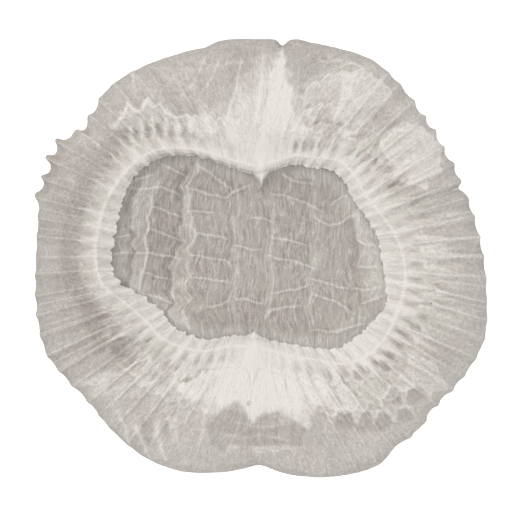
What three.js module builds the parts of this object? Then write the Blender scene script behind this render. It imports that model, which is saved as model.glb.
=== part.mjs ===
// A disposable bouffant cap, made from one pleated sheet of white non-woven fabric, as it lies on its
// crown with the gathered opening upward. Millimetres, +Z up, the back seal towards +Y.
import * as THREE from 'three';
import { mergeVertices } from 'three/addons/utils/BufferGeometryUtils.js';

// Driving sizes, in millimetres
const HALF_WIDTH = 136; // middle of the opening to the side fold, where the table's outline is 1
const LOFT = 35; // resting plane to the middle of the fabric at its highest ring
const FABRIC = 1.3; // wall of the sheet
const HEM_FABRIC = 1.1; // wall of the turned-over hem
const GAP = 0.35; // clearance between stacked pieces
const RUFFLE_HEIGHT = 3.8; // valley to ridge of a gather, at its deepest
const SCALLOP_DEPTH = 2.6; // valley to ridge of a gather on the side fold, seen from above
const FRILL_WIDTH = 12; // folded edge of the hem to the elastic, where the table's frill is 1
const TURN_WIDTH = 15; // elastic to the raw edge of the hem
const ELASTIC_WIDTH = 1.8;
const ELASTIC_THICKNESS = 1.0;
const SEAL_THICKNESS = 3.2;
const SEAL_TIP_WIDTH = 1.6;
const SEAL_REACH = 8; // folded edge to the seal's tip, where a seal's reach is 1

// Counts and angles
const GATHERS = 72;
const COLUMNS = 2 * GATHERS; // a ridge and a valley for each gather
const SEAL_HALF_ANGLE = 6; // degrees on each side of a seal's middle that the seal takes
const FAN_PULL = 0.35; // share by which gathers crowd towards a seal at the opening
const FAN_WIDTH = 24; // degrees over which they do so
const DEGREE = Math.PI / 180;
const SEAL_SPAN = Math.max(1, Math.round((SEAL_HALF_ANGLE * COLUMNS) / 360)); // the same in columns

// The cap about the middle of its opening, one row every 10 degrees, anticlockwise from the right.
// outline and edge are shares of HALF_WIDTH, frill of FRILL_WIDTH, ruffle of RUFFLE_HEIGHT and
// scallop of SCALLOP_DEPTH.
const SECTIONS = [
  { at: 0, outline: 0.995, edge: 0.55, frill: 1.05, ruffle: 1.0, scallop: 0.5 },
  { at: 10, outline: 0.97, edge: 0.54, frill: 0.8, ruffle: 1.0, scallop: 0.6 },
  { at: 20, outline: 0.955, edge: 0.52, frill: 0.6, ruffle: 0.9, scallop: 0.8 },
  { at: 30, outline: 0.955, edge: 0.5, frill: 0.55, ruffle: 0.8, scallop: 1.0 },
  { at: 40, outline: 0.96, edge: 0.515, frill: 0.5, ruffle: 0.8, scallop: 0.9 },
  { at: 50, outline: 0.985, edge: 0.51, frill: 0.5, ruffle: 0.8, scallop: 0.6 },
  { at: 60, outline: 1.005, edge: 0.465, frill: 0.5, ruffle: 0.7, scallop: 0.3 },
  { at: 70, outline: 0.985, edge: 0.44, frill: 0.45, ruffle: 0.7, scallop: 0.3 },
  { at: 80, outline: 0.97, edge: 0.395, frill: 0.4, ruffle: 0.8, scallop: 0.4 },
  { at: 90, outline: 0.962, edge: 0.37, frill: 0.4, ruffle: 0.8, scallop: 0.5 },
  { at: 100, outline: 0.97, edge: 0.39, frill: 0.4, ruffle: 0.8, scallop: 0.3 },
  { at: 110, outline: 0.962, edge: 0.435, frill: 0.45, ruffle: 0.8, scallop: 0.3 },
  { at: 120, outline: 0.98, edge: 0.51, frill: 0.45, ruffle: 0.9, scallop: 0.3 },
  { at: 130, outline: 0.995, edge: 0.59, frill: 0.45, ruffle: 0.9, scallop: 0.4 },
  { at: 140, outline: 0.97, edge: 0.645, frill: 0.4, ruffle: 0.9, scallop: 0.9 },
  { at: 150, outline: 1.0, edge: 0.665, frill: 0.4, ruffle: 0.9, scallop: 1.3 },
  { at: 160, outline: 1.007, edge: 0.66, frill: 0.6, ruffle: 0.8, scallop: 1.3 },
  { at: 170, outline: 0.985, edge: 0.65, frill: 0.75, ruffle: 0.7, scallop: 0.6 },
  { at: 180, outline: 0.98, edge: 0.655, frill: 0.7, ruffle: 0.7, scallop: 0.4 },
  { at: 190, outline: 0.997, edge: 0.635, frill: 0.7, ruffle: 0.8, scallop: 0.6 },
  { at: 200, outline: 1.02, edge: 0.54, frill: 0.85, ruffle: 0.9, scallop: 0.6 },
  { at: 210, outline: 1.01, edge: 0.495, frill: 0.85, ruffle: 0.9, scallop: 0.5 },
  { at: 220, outline: 0.985, edge: 0.485, frill: 0.8, ruffle: 0.9, scallop: 0.6 },
  { at: 230, outline: 1.0, edge: 0.45, frill: 0.8, ruffle: 0.9, scallop: 0.4 },
  { at: 240, outline: 1.015, edge: 0.415, frill: 0.75, ruffle: 0.8, scallop: 0.2 },
  { at: 250, outline: 1.005, edge: 0.37, frill: 0.6, ruffle: 0.8, scallop: 0.2 },
  { at: 260, outline: 0.965, edge: 0.36, frill: 0.45, ruffle: 0.8, scallop: 0.2 },
  { at: 270, outline: 0.93, edge: 0.36, frill: 0.4, ruffle: 0.8, scallop: 0.2 },
  { at: 280, outline: 0.98, edge: 0.385, frill: 0.45, ruffle: 0.8, scallop: 0.2 },
  { at: 290, outline: 1.03, edge: 0.415, frill: 0.6, ruffle: 0.9, scallop: 0.2 },
  { at: 300, outline: 1.06, edge: 0.465, frill: 0.7, ruffle: 0.9, scallop: 0.3 },
  { at: 310, outline: 1.04, edge: 0.535, frill: 0.9, ruffle: 1.0, scallop: 0.6 },
  { at: 320, outline: 1.025, edge: 0.565, frill: 1.0, ruffle: 1.0, scallop: 0.8 },
  { at: 330, outline: 1.05, edge: 0.585, frill: 0.9, ruffle: 1.0, scallop: 0.6 },
  { at: 340, outline: 1.062, edge: 0.61, frill: 0.6, ruffle: 1.0, scallop: 0.4 },
  { at: 350, outline: 1.025, edge: 0.575, frill: 0.95, ruffle: 1.0, scallop: 0.4 },
];

// The crown's rows from the middle of its base up to the side fold and over it. reach is a share of
// the outline, lift of LOFT.
const BASE_ROWS = [
  { name: 'crown_middle', reach: 0.4, lift: 0, ruffle: 0, scallop: 0 },
  { name: 'resting_edge', reach: 0.8, lift: 0, ruffle: 0, scallop: 0 },
  { name: 'under_side', reach: 0.925, lift: 0.1, ruffle: 0, scallop: 0.4 },
  { name: 'lower_fold', reach: 0.985, lift: 0.27, ruffle: 0, scallop: 0.9 },
  { name: 'side_fold', reach: 1, lift: 0.48, ruffle: 0, scallop: 1 },
  { name: 'upper_fold', reach: 0.972, lift: 0.7, ruffle: 0.25, scallop: 0.8 },
];

// The ring from the side fold inward. reach is a share of the way to the hem's raw edge.
const RING_ROWS = [
  { name: 'shoulder', reach: 0.3, lift: 0.88, ruffle: 0.7 },
  { name: 'crest', reach: 0.65, lift: 1, ruffle: 1 },
  { name: 'raw_edge', reach: 1, lift: 0.93, ruffle: 0.7 },
];

// The hem from its raw edge inward. Both elastic rows are pinched flat, one on each side of the thread.
const HEM_ROWS = [
  { name: 'elastic_outer', lift: 0.8, ruffle: 0 },
  { name: 'elastic_inner', lift: 0.78, ruffle: 0 },
  { name: 'folded_edge', lift: 0.7, ruffle: 0.35 },
];

// The seals, with their reach as a share of SEAL_REACH.
const SEALS = [
  { name: 'back', at: 87, reach: 1 },
  { name: 'front', at: 267, reach: 0.65 },
];

const FABRIC_LOOK = { color: 0xc6c1bb, roughness: 0.85, metalness: 0 };
const HEM_LOOK = { color: 0xd9d5cf, roughness: 0.85, metalness: 0 };
const ELASTIC_LOOK = { color: 0xe6e2dc, roughness: 0.6, metalness: 0 };
const SEAL_LOOK = { color: 0xe2deda, roughness: 0.5, metalness: 0 };

// One column of SECTIONS at any angle, by a closed Catmull-Rom curve through its rows.
function section(key, angle) {
  const count = SECTIONS.length;
  const place = (((angle / 360) * count) % count + count) % count;
  const first = Math.floor(place);
  const t = place - first;
  const [a, b, c, d] = [-1, 0, 1, 2].map((k) => SECTIONS[(first + k + count) % count][key]);
  return 0.5 * (2 * b + (c - a) * t + (2 * a - 5 * b + 4 * c - d) * t * t + (3 * b - a - 3 * c + d) * t ** 3);
}

function nearestSeal(angle) {
  const away = SEALS.map((seal) => ((angle - seal.at + 540) % 360) - 180);
  return Math.abs(away[0]) < Math.abs(away[1]) ? away[0] : away[1];
}

function polar(angle, radius) {
  return new THREE.Vector2(Math.cos(angle * DEGREE), Math.sin(angle * DEGREE)).multiplyScalar(radius);
}

// Angle at the opening of the gather that starts at this angle of the side fold.
function crowded(angle) {
  const away = nearestSeal(angle);
  return angle - away * FAN_PULL * Math.exp(-((away / FAN_WIDTH) ** 2));
}

function sealColumn(seal) {
  return Math.round((seal.at / 360) * COLUMNS);
}

function columnsFromSeal(column) {
  return Math.min(...SEALS.map((seal) => {
    const away = Math.abs(column - sealColumn(seal));
    return Math.min(away, COLUMNS - away);
  }));
}

// Outer face of the sheet along one column, from the middle of the base to the folded edge of the hem.
function outerFace(column) {
  const angle = (column / COLUMNS) * 360;
  const inner = crowded(angle);
  const wave = column % 2 === 0 ? 0.5 : -0.5;
  const ruffle = wave * RUFFLE_HEIGHT * section('ruffle', angle);
  const scallop = wave * SCALLOP_DEPTH * section('scallop', angle);
  const outline = section('outline', angle) * HALF_WIDTH;
  const edge = section('edge', inner) * HALF_WIDTH;
  const thread = edge + section('frill', inner) * FRILL_WIDTH;
  const pinch = ELASTIC_WIDTH / 2 + GAP;
  const radii = [thread + pinch, thread - pinch, edge];
  const raw = polar(inner, thread + TURN_WIDTH);
  const free = columnsFromSeal(column) > SEAL_SPAN ? 1 : 0;
  const at = (plan, lift, rise) => new THREE.Vector3(plan.x, plan.y, lift * LOFT + rise);

  const base = BASE_ROWS.map((row) => at(
    polar(angle, row.reach * outline + row.scallop * scallop), row.lift, row.ruffle * ruffle));
  const ring = RING_ROWS.map((row) => at(
    polar(angle, outline).lerp(raw, row.reach), row.lift, row.ruffle * ruffle * (row.reach < 1 ? 1 : free)));
  const hem = HEM_ROWS.map((row, k) => at(polar(inner, radii[k]), row.lift, row.ruffle * ruffle * free));
  return [...base, ...ring, ...hem];
}

// Inner face: every point moved in by the wall, square to the profile in the column's own plane.
function innerFace(column, outer) {
  const last = outer.length - 1;
  return outer.map((point, k) => {
    const before = k > 0 ? outer[k - 1] : new THREE.Vector3();
    const after = outer[Math.min(k + 1, last)];
    const along = after.clone().sub(before);
    const run = Math.hypot(along.x, along.y) * (along.dot(new THREE.Vector3(point.x, point.y, 0)) < 0 ? -1 : 1);
    const turn = Math.atan2(along.z, run);
    const outward = new THREE.Vector2(point.x, point.y).normalize();
    const move = FABRIC * -Math.sin(turn);
    return new THREE.Vector3(
      point.x + outward.x * move, point.y + outward.y * move, point.z + FABRIC * Math.cos(turn));
  });
}

// Closed body between two faces of equal grids, each a list of columns that run anticlockwise, with
// rows that run up over the side fold and inward. A closed grid joins its last column to its first,
// and poles close its first row.
function layered(outer, inner, { closed = false, poles = null } = {}) {
  const rows = outer[0].length;
  const points = [];
  const keep = (grid) => grid.map((line) => line.map((p) => points.push(p) - 1));
  const [over, under] = [keep(outer), keep(inner)];
  const faces = [];
  const quad = (a, b, c, d) => faces.push(a, c, b, a, d, c);
  const spans = closed ? outer.length : outer.length - 1;
  for (let i = 0; i < spans; i += 1) {
    const j = (i + 1) % outer.length;
    for (let k = 0; k < rows - 1; k += 1) {
      quad(over[i][k], over[i][k + 1], over[j][k + 1], over[j][k]);
      quad(under[i][k], under[j][k], under[j][k + 1], under[i][k + 1]);
    }
    quad(over[i][rows - 1], under[i][rows - 1], under[j][rows - 1], over[j][rows - 1]);
    if (!poles) quad(over[i][0], over[j][0], under[j][0], under[i][0]);
  }
  if (poles) {
    const [overPole, underPole] = poles.map((p) => points.push(p) - 1);
    for (let i = 0; i < spans; i += 1) {
      const j = (i + 1) % outer.length;
      faces.push(overPole, over[j][0], over[i][0], underPole, under[i][0], under[j][0]);
    }
  }
  if (!closed) {
    const end = outer.length - 1;
    for (let k = 0; k < rows - 1; k += 1) {
      quad(over[0][k], under[0][k], under[0][k + 1], over[0][k + 1]);
      quad(over[end][k], over[end][k + 1], under[end][k + 1], under[end][k]);
    }
  }
  const geometry = new THREE.BufferGeometry();
  geometry.setAttribute('position', new THREE.Float32BufferAttribute(points.flatMap((p) => p.toArray()), 3));
  geometry.setIndex(faces);
  return mergeVertices(geometry);
}

function raised(point, height) {
  return new THREE.Vector3(point.x, point.y, point.z + height);
}

const cap = new THREE.Group();

function addPiece(name, geometry, look) {
  geometry.computeVertexNormals();
  const mesh = new THREE.Mesh(geometry, new THREE.MeshStandardMaterial(look));
  mesh.name = name;
  cap.add(mesh);
}

const outerGrid = Array.from({ length: COLUMNS }, (_, i) => outerFace(i));
const innerGrid = outerGrid.map((line, i) => innerFace(i, line));
addPiece('crown_sheet', layered(outerGrid, innerGrid, {
  closed: true,
  poles: [new THREE.Vector3(0, 0, 0), new THREE.Vector3(0, 0, FABRIC)],
}), FABRIC_LOOK);

const RAW_ROW = BASE_ROWS.length + RING_ROWS.length - 1;
const THREAD_ROW = RAW_ROW + 1;

// Columns from one seal's edge to the other's, anticlockwise.
function between(fromSeal, toSeal) {
  const first = sealColumn(fromSeal) + SEAL_SPAN;
  const span = (sealColumn(toSeal) - sealColumn(fromSeal) + COLUMNS) % COLUMNS - 2 * SEAL_SPAN;
  return Array.from({ length: span + 1 }, (_, i) => (first + i) % COLUMNS);
}

// The elastic lies on the pinched strip of the sheet, one flat thread on each side.
function elastic(columns) {
  const sides = columns.map((column) => {
    const [out, inn] = [outerGrid[column][THREAD_ROW], outerGrid[column][THREAD_ROW + 1]];
    const width = out.distanceTo(inn);
    const share = (width - ELASTIC_WIDTH) / 2 / width;
    return [out.clone().lerp(inn, share), out.clone().lerp(inn, 1 - share)];
  });
  return layered(
    sides.map((line) => line.map((p) => raised(p, GAP + ELASTIC_THICKNESS))),
    sides.map((line) => line.map((p) => raised(p, GAP))));
}

// The hem lies on the sheet at its raw and folded edges and passes over the elastic.
function hem(columns) {
  const lifts = [GAP, 2 * GAP + ELASTIC_THICKNESS, 2 * GAP + ELASTIC_THICKNESS, GAP];
  const under = columns.map((column) => outerGrid[column].slice(RAW_ROW).map((p, k) => raised(p, lifts[k])));
  return layered(under.map((line) => line.map((p) => raised(p, HEM_FABRIC))), under);
}

// A seal is the fused end of all the pleats: a wedge between the hems with its tip in the opening.
function endSeal(seal) {
  const middle = sealColumn(seal);
  const [right, left] = [-SEAL_SPAN, SEAL_SPAN].map((k) => outerGrid[(middle + k + COLUMNS) % COLUMNS].slice(RAW_ROW));
  const across = (row) => left[row].clone().sub(right[row]).normalize();
  const inset = (row, point, sign) => raised(point.clone().addScaledVector(across(row), sign * GAP), GAP);
  const rightSide = right.map((p, row) => inset(row, p, 1));
  const leftSide = left.map((p, row) => inset(row, p, -1));
  const folded = right.length - 1;
  const tip = right[folded].clone().lerp(left[folded], 0.5);
  tip.addScaledVector(new THREE.Vector3(tip.x, tip.y, 0).normalize(), -seal.reach * SEAL_REACH);
  const tipHalf = across(folded).multiplyScalar(SEAL_TIP_WIDTH / 2);
  rightSide.push(raised(tip.clone().sub(tipHalf), GAP));
  leftSide.push(raised(tip.clone().add(tipHalf), GAP));
  const under = [rightSide, leftSide];
  return layered(under.map((line) => line.map((p) => raised(p, SEAL_THICKNESS))), under);
}

const [backSeal, frontSeal] = SEALS;
const SIDES = [
  { name: 'left', columns: between(backSeal, frontSeal) },
  { name: 'right', columns: between(frontSeal, backSeal) },
];
SIDES.forEach(({ name, columns }) => {
  addPiece(`elastic_${name}`, elastic(columns), ELASTIC_LOOK);
  addPiece(`hem_${name}`, hem(columns), HEM_LOOK);
});
SEALS.forEach((seal) => addPiece(`end_seal_${seal.name}`, endSeal(seal), SEAL_LOOK));

// The origin is under the middle of the cap's outline, on the resting plane.
const middle = new THREE.Box3().setFromObject(cap).getCenter(new THREE.Vector3());
cap.position.set(-middle.x, -middle.y, 0);

export default cap;
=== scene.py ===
"""Looks of the disposable bouffant cap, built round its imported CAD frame.

The cap lies on its crown with the gathered opening upward. Its cloth is worked out as heights over
smooth lofts through the same rows that the part's source has, in millimetres about the middle of the
opening, and goes into metres and into the row frame only when a mesh is made.
"""

import logging
import math
from dataclasses import dataclass, field

import bpy
import numpy as np
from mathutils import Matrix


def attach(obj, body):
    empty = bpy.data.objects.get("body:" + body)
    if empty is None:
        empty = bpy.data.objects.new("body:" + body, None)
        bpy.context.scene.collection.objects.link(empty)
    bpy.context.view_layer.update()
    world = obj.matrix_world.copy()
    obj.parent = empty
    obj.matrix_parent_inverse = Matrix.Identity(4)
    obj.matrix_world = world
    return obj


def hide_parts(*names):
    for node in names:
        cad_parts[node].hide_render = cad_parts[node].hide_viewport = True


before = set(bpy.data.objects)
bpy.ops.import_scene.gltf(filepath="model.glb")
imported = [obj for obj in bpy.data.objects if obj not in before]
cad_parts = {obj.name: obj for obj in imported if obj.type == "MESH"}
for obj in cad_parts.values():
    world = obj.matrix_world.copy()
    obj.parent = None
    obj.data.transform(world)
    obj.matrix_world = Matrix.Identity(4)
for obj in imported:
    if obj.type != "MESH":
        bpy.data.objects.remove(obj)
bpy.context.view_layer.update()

Array = np.ndarray
log = logging.getLogger("cap")

MM = 0.001
PIXEL = 0.6  # millimetres of cap for each pixel of the photograph
PHOTO_SIZE = (510, 515)
PHOTO_OPENING = (258, 257)  # pixel at the middle of the opening

# Driving sizes, the same as in the part's source
HALF_WIDTH = 136.0
LOFT = 35.0
RUFFLE_HEIGHT = 3.8
SCALLOP_DEPTH = 2.6
FRILL_WIDTH = 12.0
TURN_WIDTH = 15.0
ELASTIC_WIDTH = 1.8
ELASTIC_THICKNESS = 1.0
GAP = 0.35
GATHERS = 72
GATHER_ANGLE = 360.0 / GATHERS
COLUMN_ANGLE = GATHER_ANGLE / 2  # between the columns of the part's source
SEAL_SPAN = 2  # columns that a seal takes on each side of its middle
FAN_PULL = 0.35
FAN_WIDTH = 24.0
SEAL_ANGLES = (87.0, 267.0)
SPIKE_SHARES = (1.0, 0.55)  # how much of its reach the spike of each seal takes
SEAL_OVERLAP = 1.2  # degrees by which each hem reaches over a seal's side

# One row every 10 degrees, anticlockwise from the right: outline and edge as shares of HALF_WIDTH,
# frill of FRILL_WIDTH, ruffle of RUFFLE_HEIGHT, scallop of SCALLOP_DEPTH.
SECTION_KEYS = ("outline", "edge", "frill", "ruffle", "scallop")
SECTIONS = (
    (0.995, 0.55, 1.05, 1.0, 0.5), (0.97, 0.54, 0.8, 1.0, 0.6), (0.955, 0.52, 0.6, 0.9, 0.8),
    (0.955, 0.5, 0.55, 0.8, 1.0), (0.96, 0.515, 0.5, 0.8, 0.9), (0.985, 0.51, 0.5, 0.8, 0.6),
    (1.005, 0.465, 0.5, 0.7, 0.3), (0.985, 0.44, 0.45, 0.7, 0.3), (0.97, 0.395, 0.4, 0.8, 0.4),
    (0.962, 0.37, 0.4, 0.8, 0.5), (0.97, 0.39, 0.4, 0.8, 0.3), (0.962, 0.435, 0.45, 0.8, 0.3),
    (0.98, 0.51, 0.45, 0.9, 0.3), (0.995, 0.59, 0.45, 0.9, 0.4), (0.97, 0.645, 0.4, 0.9, 0.9),
    (1.0, 0.665, 0.4, 0.9, 1.3), (1.007, 0.66, 0.6, 0.8, 1.3), (0.985, 0.65, 0.75, 0.7, 0.6),
    (0.98, 0.655, 0.7, 0.7, 0.4), (0.997, 0.635, 0.7, 0.8, 0.6), (1.02, 0.54, 0.85, 0.9, 0.6),
    (1.01, 0.495, 0.85, 0.9, 0.5), (0.985, 0.485, 0.8, 0.9, 0.6), (1.0, 0.45, 0.8, 0.9, 0.4),
    (1.015, 0.415, 0.75, 0.8, 0.2), (1.005, 0.37, 0.6, 0.8, 0.2), (0.965, 0.36, 0.45, 0.8, 0.2),
    (0.93, 0.36, 0.4, 0.8, 0.2), (0.98, 0.385, 0.45, 0.8, 0.2), (1.03, 0.415, 0.6, 0.9, 0.2),
    (1.06, 0.465, 0.7, 0.9, 0.3), (1.04, 0.535, 0.9, 1.0, 0.6), (1.025, 0.565, 1.0, 1.0, 0.8),
    (1.05, 0.585, 0.9, 1.0, 0.6), (1.062, 0.61, 0.6, 1.0, 0.4), (1.025, 0.575, 0.95, 1.0, 0.4),
)

# Notches and corners of the outline that are finer than a row: angle, half width in degrees, and
# how far out in millimetres
OUTLINE_MARKS = (
    (83.5, 1.2, -3.6), (79.5, 2.0, 0.9), (104.5, 3.0, -1.6), (144.0, 2.4, -2.8), (150.5, 2.6, 3.0),
    (155.0, 1.6, 2.0), (164.5, 2.6, 2.2), (205.0, 3.5, 1.2), (270.7, 3.0, -1.6), (305.5, 2.6, -2.4),
    (313.8, 2.0, 1.2), (134.0, 2.5, 1.1), (19.0, 1.0, -2.2), (30.0, 2.5, -1.0),
)

# Rows of the sheet from the resting edge up over the side fold and in to the folded edge of the hem.
# travel is how far along the cloth each lies, in millimetres on a middling column.
ROW_TRAVEL = np.array([0.0, 17.0, 27.0, 35.0, 44.0, 54.0, 69.0, 84.0, 98.0, 101.0, 109.0])
SIDE_REACH = (0.8, 0.925, 0.985, 1.0, 0.972)  # resting edge, under side, lower, side and upper fold
RING_REACH = (0.3, 0.65, 1.0)  # shoulder, crest, raw edge
ROW_LIFT = (0.0, 0.1, 0.27, 0.48, 0.7, 0.88, 1.0, 0.93, 0.8, 0.78, 0.7)
ROW_RUFFLE = (0.0, 0.0, 0.0, 0.0, 0.25, 0.7, 1.0, 0.7, 0.0, 0.0, 0.35)
ROW_SCALLOP = (0.0, 0.4, 0.9, 1.0, 0.8, 0.0, 0.0, 0.0, 0.0, 0.0, 0.0)
CREST_ROW = 6
TRAVEL_SIDE, TRAVEL_RAW, TRAVEL_INNER, TRAVEL_END = 35.0, 84.0, 101.0, 109.0
TRAVEL_THREAD = 99.5  # middle of the elastic
TRAVEL_GROOVE_SHADE = 95.6  # faint painted shade line in the groove outside the elastic
TRAVEL_SLITS = 92.0  # middle of the slits between the raw edge and the elastic


def smooth(low: float, high: float, value: Array) -> Array:
    """Zero below low, one above high, and a cubic ease between them."""
    t = np.clip((value - low) / (high - low), 0.0, 1.0)
    return t * t * (3.0 - 2.0 * t)


def bell(distance: Array, width: float | Array) -> Array:
    """One at no distance, falling as a Gaussian curve of that width."""
    return np.exp(-np.square(distance / width))


def closed_curve(values: Array, place: Array) -> Array:
    """A closed Catmull-Rom curve through equally spaced values.

    Args:
        values: one value for each row.
        place: position along the curve, one unit a row.

    Returns:
        The curve's value at each place.
    """
    count = len(values)
    first = np.floor(place).astype(int)
    t = place - first
    a, b, c, d = (values[(first + k) % count] for k in (-1, 0, 1, 2))
    return 0.5 * (2 * b + (c - a) * t + (2 * a - 5 * b + 4 * c - d) * t**2 + (3 * b - a - 3 * c + d) * t**3)


def field_at(rows: tuple[object, ...], key: str, angle: Array) -> Array:
    """One field of rows that stand equally far apart round the cap, at any angle in degrees."""
    values = np.array([getattr(row, key) for row in rows])
    return closed_curve(values, angle * len(rows) / 360.0)


def section(key: str, angle: Array) -> Array:
    """One column of SECTIONS at any angle in degrees."""
    values = np.array(SECTIONS)[:, SECTION_KEYS.index(key)]
    return closed_curve(values, angle / 10.0)


def wrapped(angle: Array) -> Array:
    """An angle in degrees brought into -180 to 180."""
    return (angle + 180.0) % 360.0 - 180.0


def seal_distance(angle: Array) -> Array:
    """Signed degrees from the nearest seal."""
    back, front = (wrapped(angle - at) for at in SEAL_ANGLES)
    return np.where(np.abs(back) < np.abs(front), back, front)


def crowded(angle: Array) -> Array:
    """Angle at the opening of the gather that starts at this angle of the side fold."""
    away = seal_distance(angle)
    return angle - away * FAN_PULL * bell(away, FAN_WIDTH)


def on_column(angle: float) -> float:
    """The nearest column of the part's source."""
    return round(angle / COLUMN_ANGLE) * COLUMN_ANGLE


def outline_radius(angle: Array) -> Array:
    """The side fold's distance from the middle: the table's curve and its small marks.

    Args:
        angle: degrees, anticlockwise from the right.

    Returns:
        The distance in millimetres.
    """
    radius = section("outline", angle) * HALF_WIDTH
    for at, width, out in OUTLINE_MARKS:
        radius = radius + out * bell(wrapped(angle - at), width)
    return radius


def lattice(x: Array, y: Array, cell: float, seed: int) -> Array:
    """Smooth seeded noise from -1 to 1: random numbers at the corners of square cells, eased between.

    Args:
        x: first coordinate.
        y: second coordinate, in the same unit.
        cell: side of a cell.
        seed: which pattern.

    Returns:
        The noise at each point.
    """
    size = 128
    table = np.random.default_rng(seed).uniform(-1.0, 1.0, (size, size))
    u, v = x / cell + 1000.0, y / cell + 1000.0
    i, j = np.floor(u).astype(int), np.floor(v).astype(int)
    s, t = u - i, v - j
    s, t = s * s * (3 - 2 * s), t * t * (3 - 2 * t)
    a, b = table[i % size, j % size], table[(i + 1) % size, j % size]
    c, d = table[i % size, (j + 1) % size], table[(i + 1) % size, (j + 1) % size]
    return (a * (1 - s) + b * s) * (1 - t) + (c * (1 - s) + d * s) * t


def from_photo(points: tuple[tuple[float, float], ...]) -> Array:
    """Pixels of the photograph as millimetres about the middle of the opening."""
    px = np.array(points, float)
    return np.stack([(px[:, 0] - PHOTO_OPENING[0]) * PIXEL, (PHOTO_OPENING[1] - px[:, 1]) * PIXEL], axis=1)


def line_distance(x: Array, y: Array, line: Array) -> tuple[Array, Array]:
    """Distance to a bent line, and how far along it the nearest point lies.

    Args:
        x: points' first coordinate.
        y: points' second coordinate.
        line: the line's corners, one row each.

    Returns:
        The distance in millimetres, and the share of the line from 0 to 1.
    """
    best = np.full(x.shape, 1e9)
    share = np.zeros(x.shape)
    steps = np.linalg.norm(np.diff(line, axis=0), axis=1)
    starts = np.concatenate([[0.0], np.cumsum(steps)])
    for k, length in enumerate(steps):
        (ax, ay), (bx, by) = line[k], line[k + 1]
        t = np.clip(((x - ax) * (bx - ax) + (y - ay) * (by - ay)) / length**2, 0.0, 1.0)
        away = np.hypot(x - ax - t * (bx - ax), y - ay - t * (by - ay))
        nearer = away < best
        best = np.where(nearer, away, best)
        share = np.where(nearer, (starts[k] + t * length) / starts[-1], share)
    return best, share


def inside(x: Array, y: Array, corners: Array) -> Array:
    """Signed distance to a closed outline, positive inside it: the nearest edge, and a count of crossings.

    Args:
        x: points' first coordinate.
        y: points' second coordinate, in the same unit.
        corners: the outline's corners, one row each.

    Returns:
        The distance, in the same unit.
    """
    loop = np.vstack([corners, corners[:1]])
    away, _ = line_distance(x, y, loop)
    within = np.zeros(x.shape, bool)
    for (ax, ay), (bx, by) in zip(loop[:-1], loop[1:]):
        if ay == by:
            continue
        crosses = (ay > y) != (by > y)
        within ^= crosses & (x < (bx - ax) * (y - ay) / (by - ay) + ax)
    return np.where(within, away, -away)


def loft(rows: Array, knots: Array, travel: Array) -> Array:
    """A smooth surface through rows of points: cubic Hermite pieces whose slopes are weighted means.

    Args:
        rows: the rows' points, shape (rows, columns, 3).
        knots: travel of each row.
        travel: where to read the surface, shape (new rows, columns).

    Returns:
        Points of shape (new rows, columns, 3).
    """
    gaps = np.diff(knots)
    slopes = np.diff(rows, axis=0) / gaps[:, None, None]
    middle = (slopes[:-1] * gaps[1:, None, None] + slopes[1:] * gaps[:-1, None, None])
    middle = middle / (gaps[:-1] + gaps[1:])[:, None, None]
    tangent = np.concatenate([slopes[:1], middle, slopes[-1:]])
    k = np.clip(np.searchsorted(knots, travel, side="right") - 1, 0, len(gaps) - 1)
    gap = gaps[k]
    t = ((travel - knots[k]) / gap)[..., None]
    gap = gap[..., None]
    column = np.broadcast_to(np.arange(rows.shape[1]), travel.shape)
    start, end = rows[k, column], rows[k + 1, column]
    out, into = tangent[k, column] * gap, tangent[k + 1, column] * gap
    curve = start * (1 + 2 * t) * (1 - t) ** 2 + end * t**2 * (3 - 2 * t)
    return curve + out * t * (1 - t) ** 2 - into * t**2 * (1 - t)


def face_normals(points: Array) -> Array:
    """Unit normals of a grid: the cross product of its steps along columns and along rows.

    Args:
        points: the grid, shape (rows, columns, 3).

    Returns:
        The normals, in the same shape.
    """
    across = np.gradient(points, axis=1)
    along = np.gradient(points, axis=0)
    normal = np.cross(across, along)
    return normal / np.maximum(np.linalg.norm(normal, axis=2, keepdims=True), 1e-9)


def polar(angle: Array, radius: Array, height: float | Array = 0.0) -> Array:
    """Points from an angle in degrees, a radius and a height."""
    turn = np.radians(angle)
    return np.stack(np.broadcast_arrays(np.cos(turn) * radius, np.sin(turn) * radius, height), axis=-1)


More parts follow.
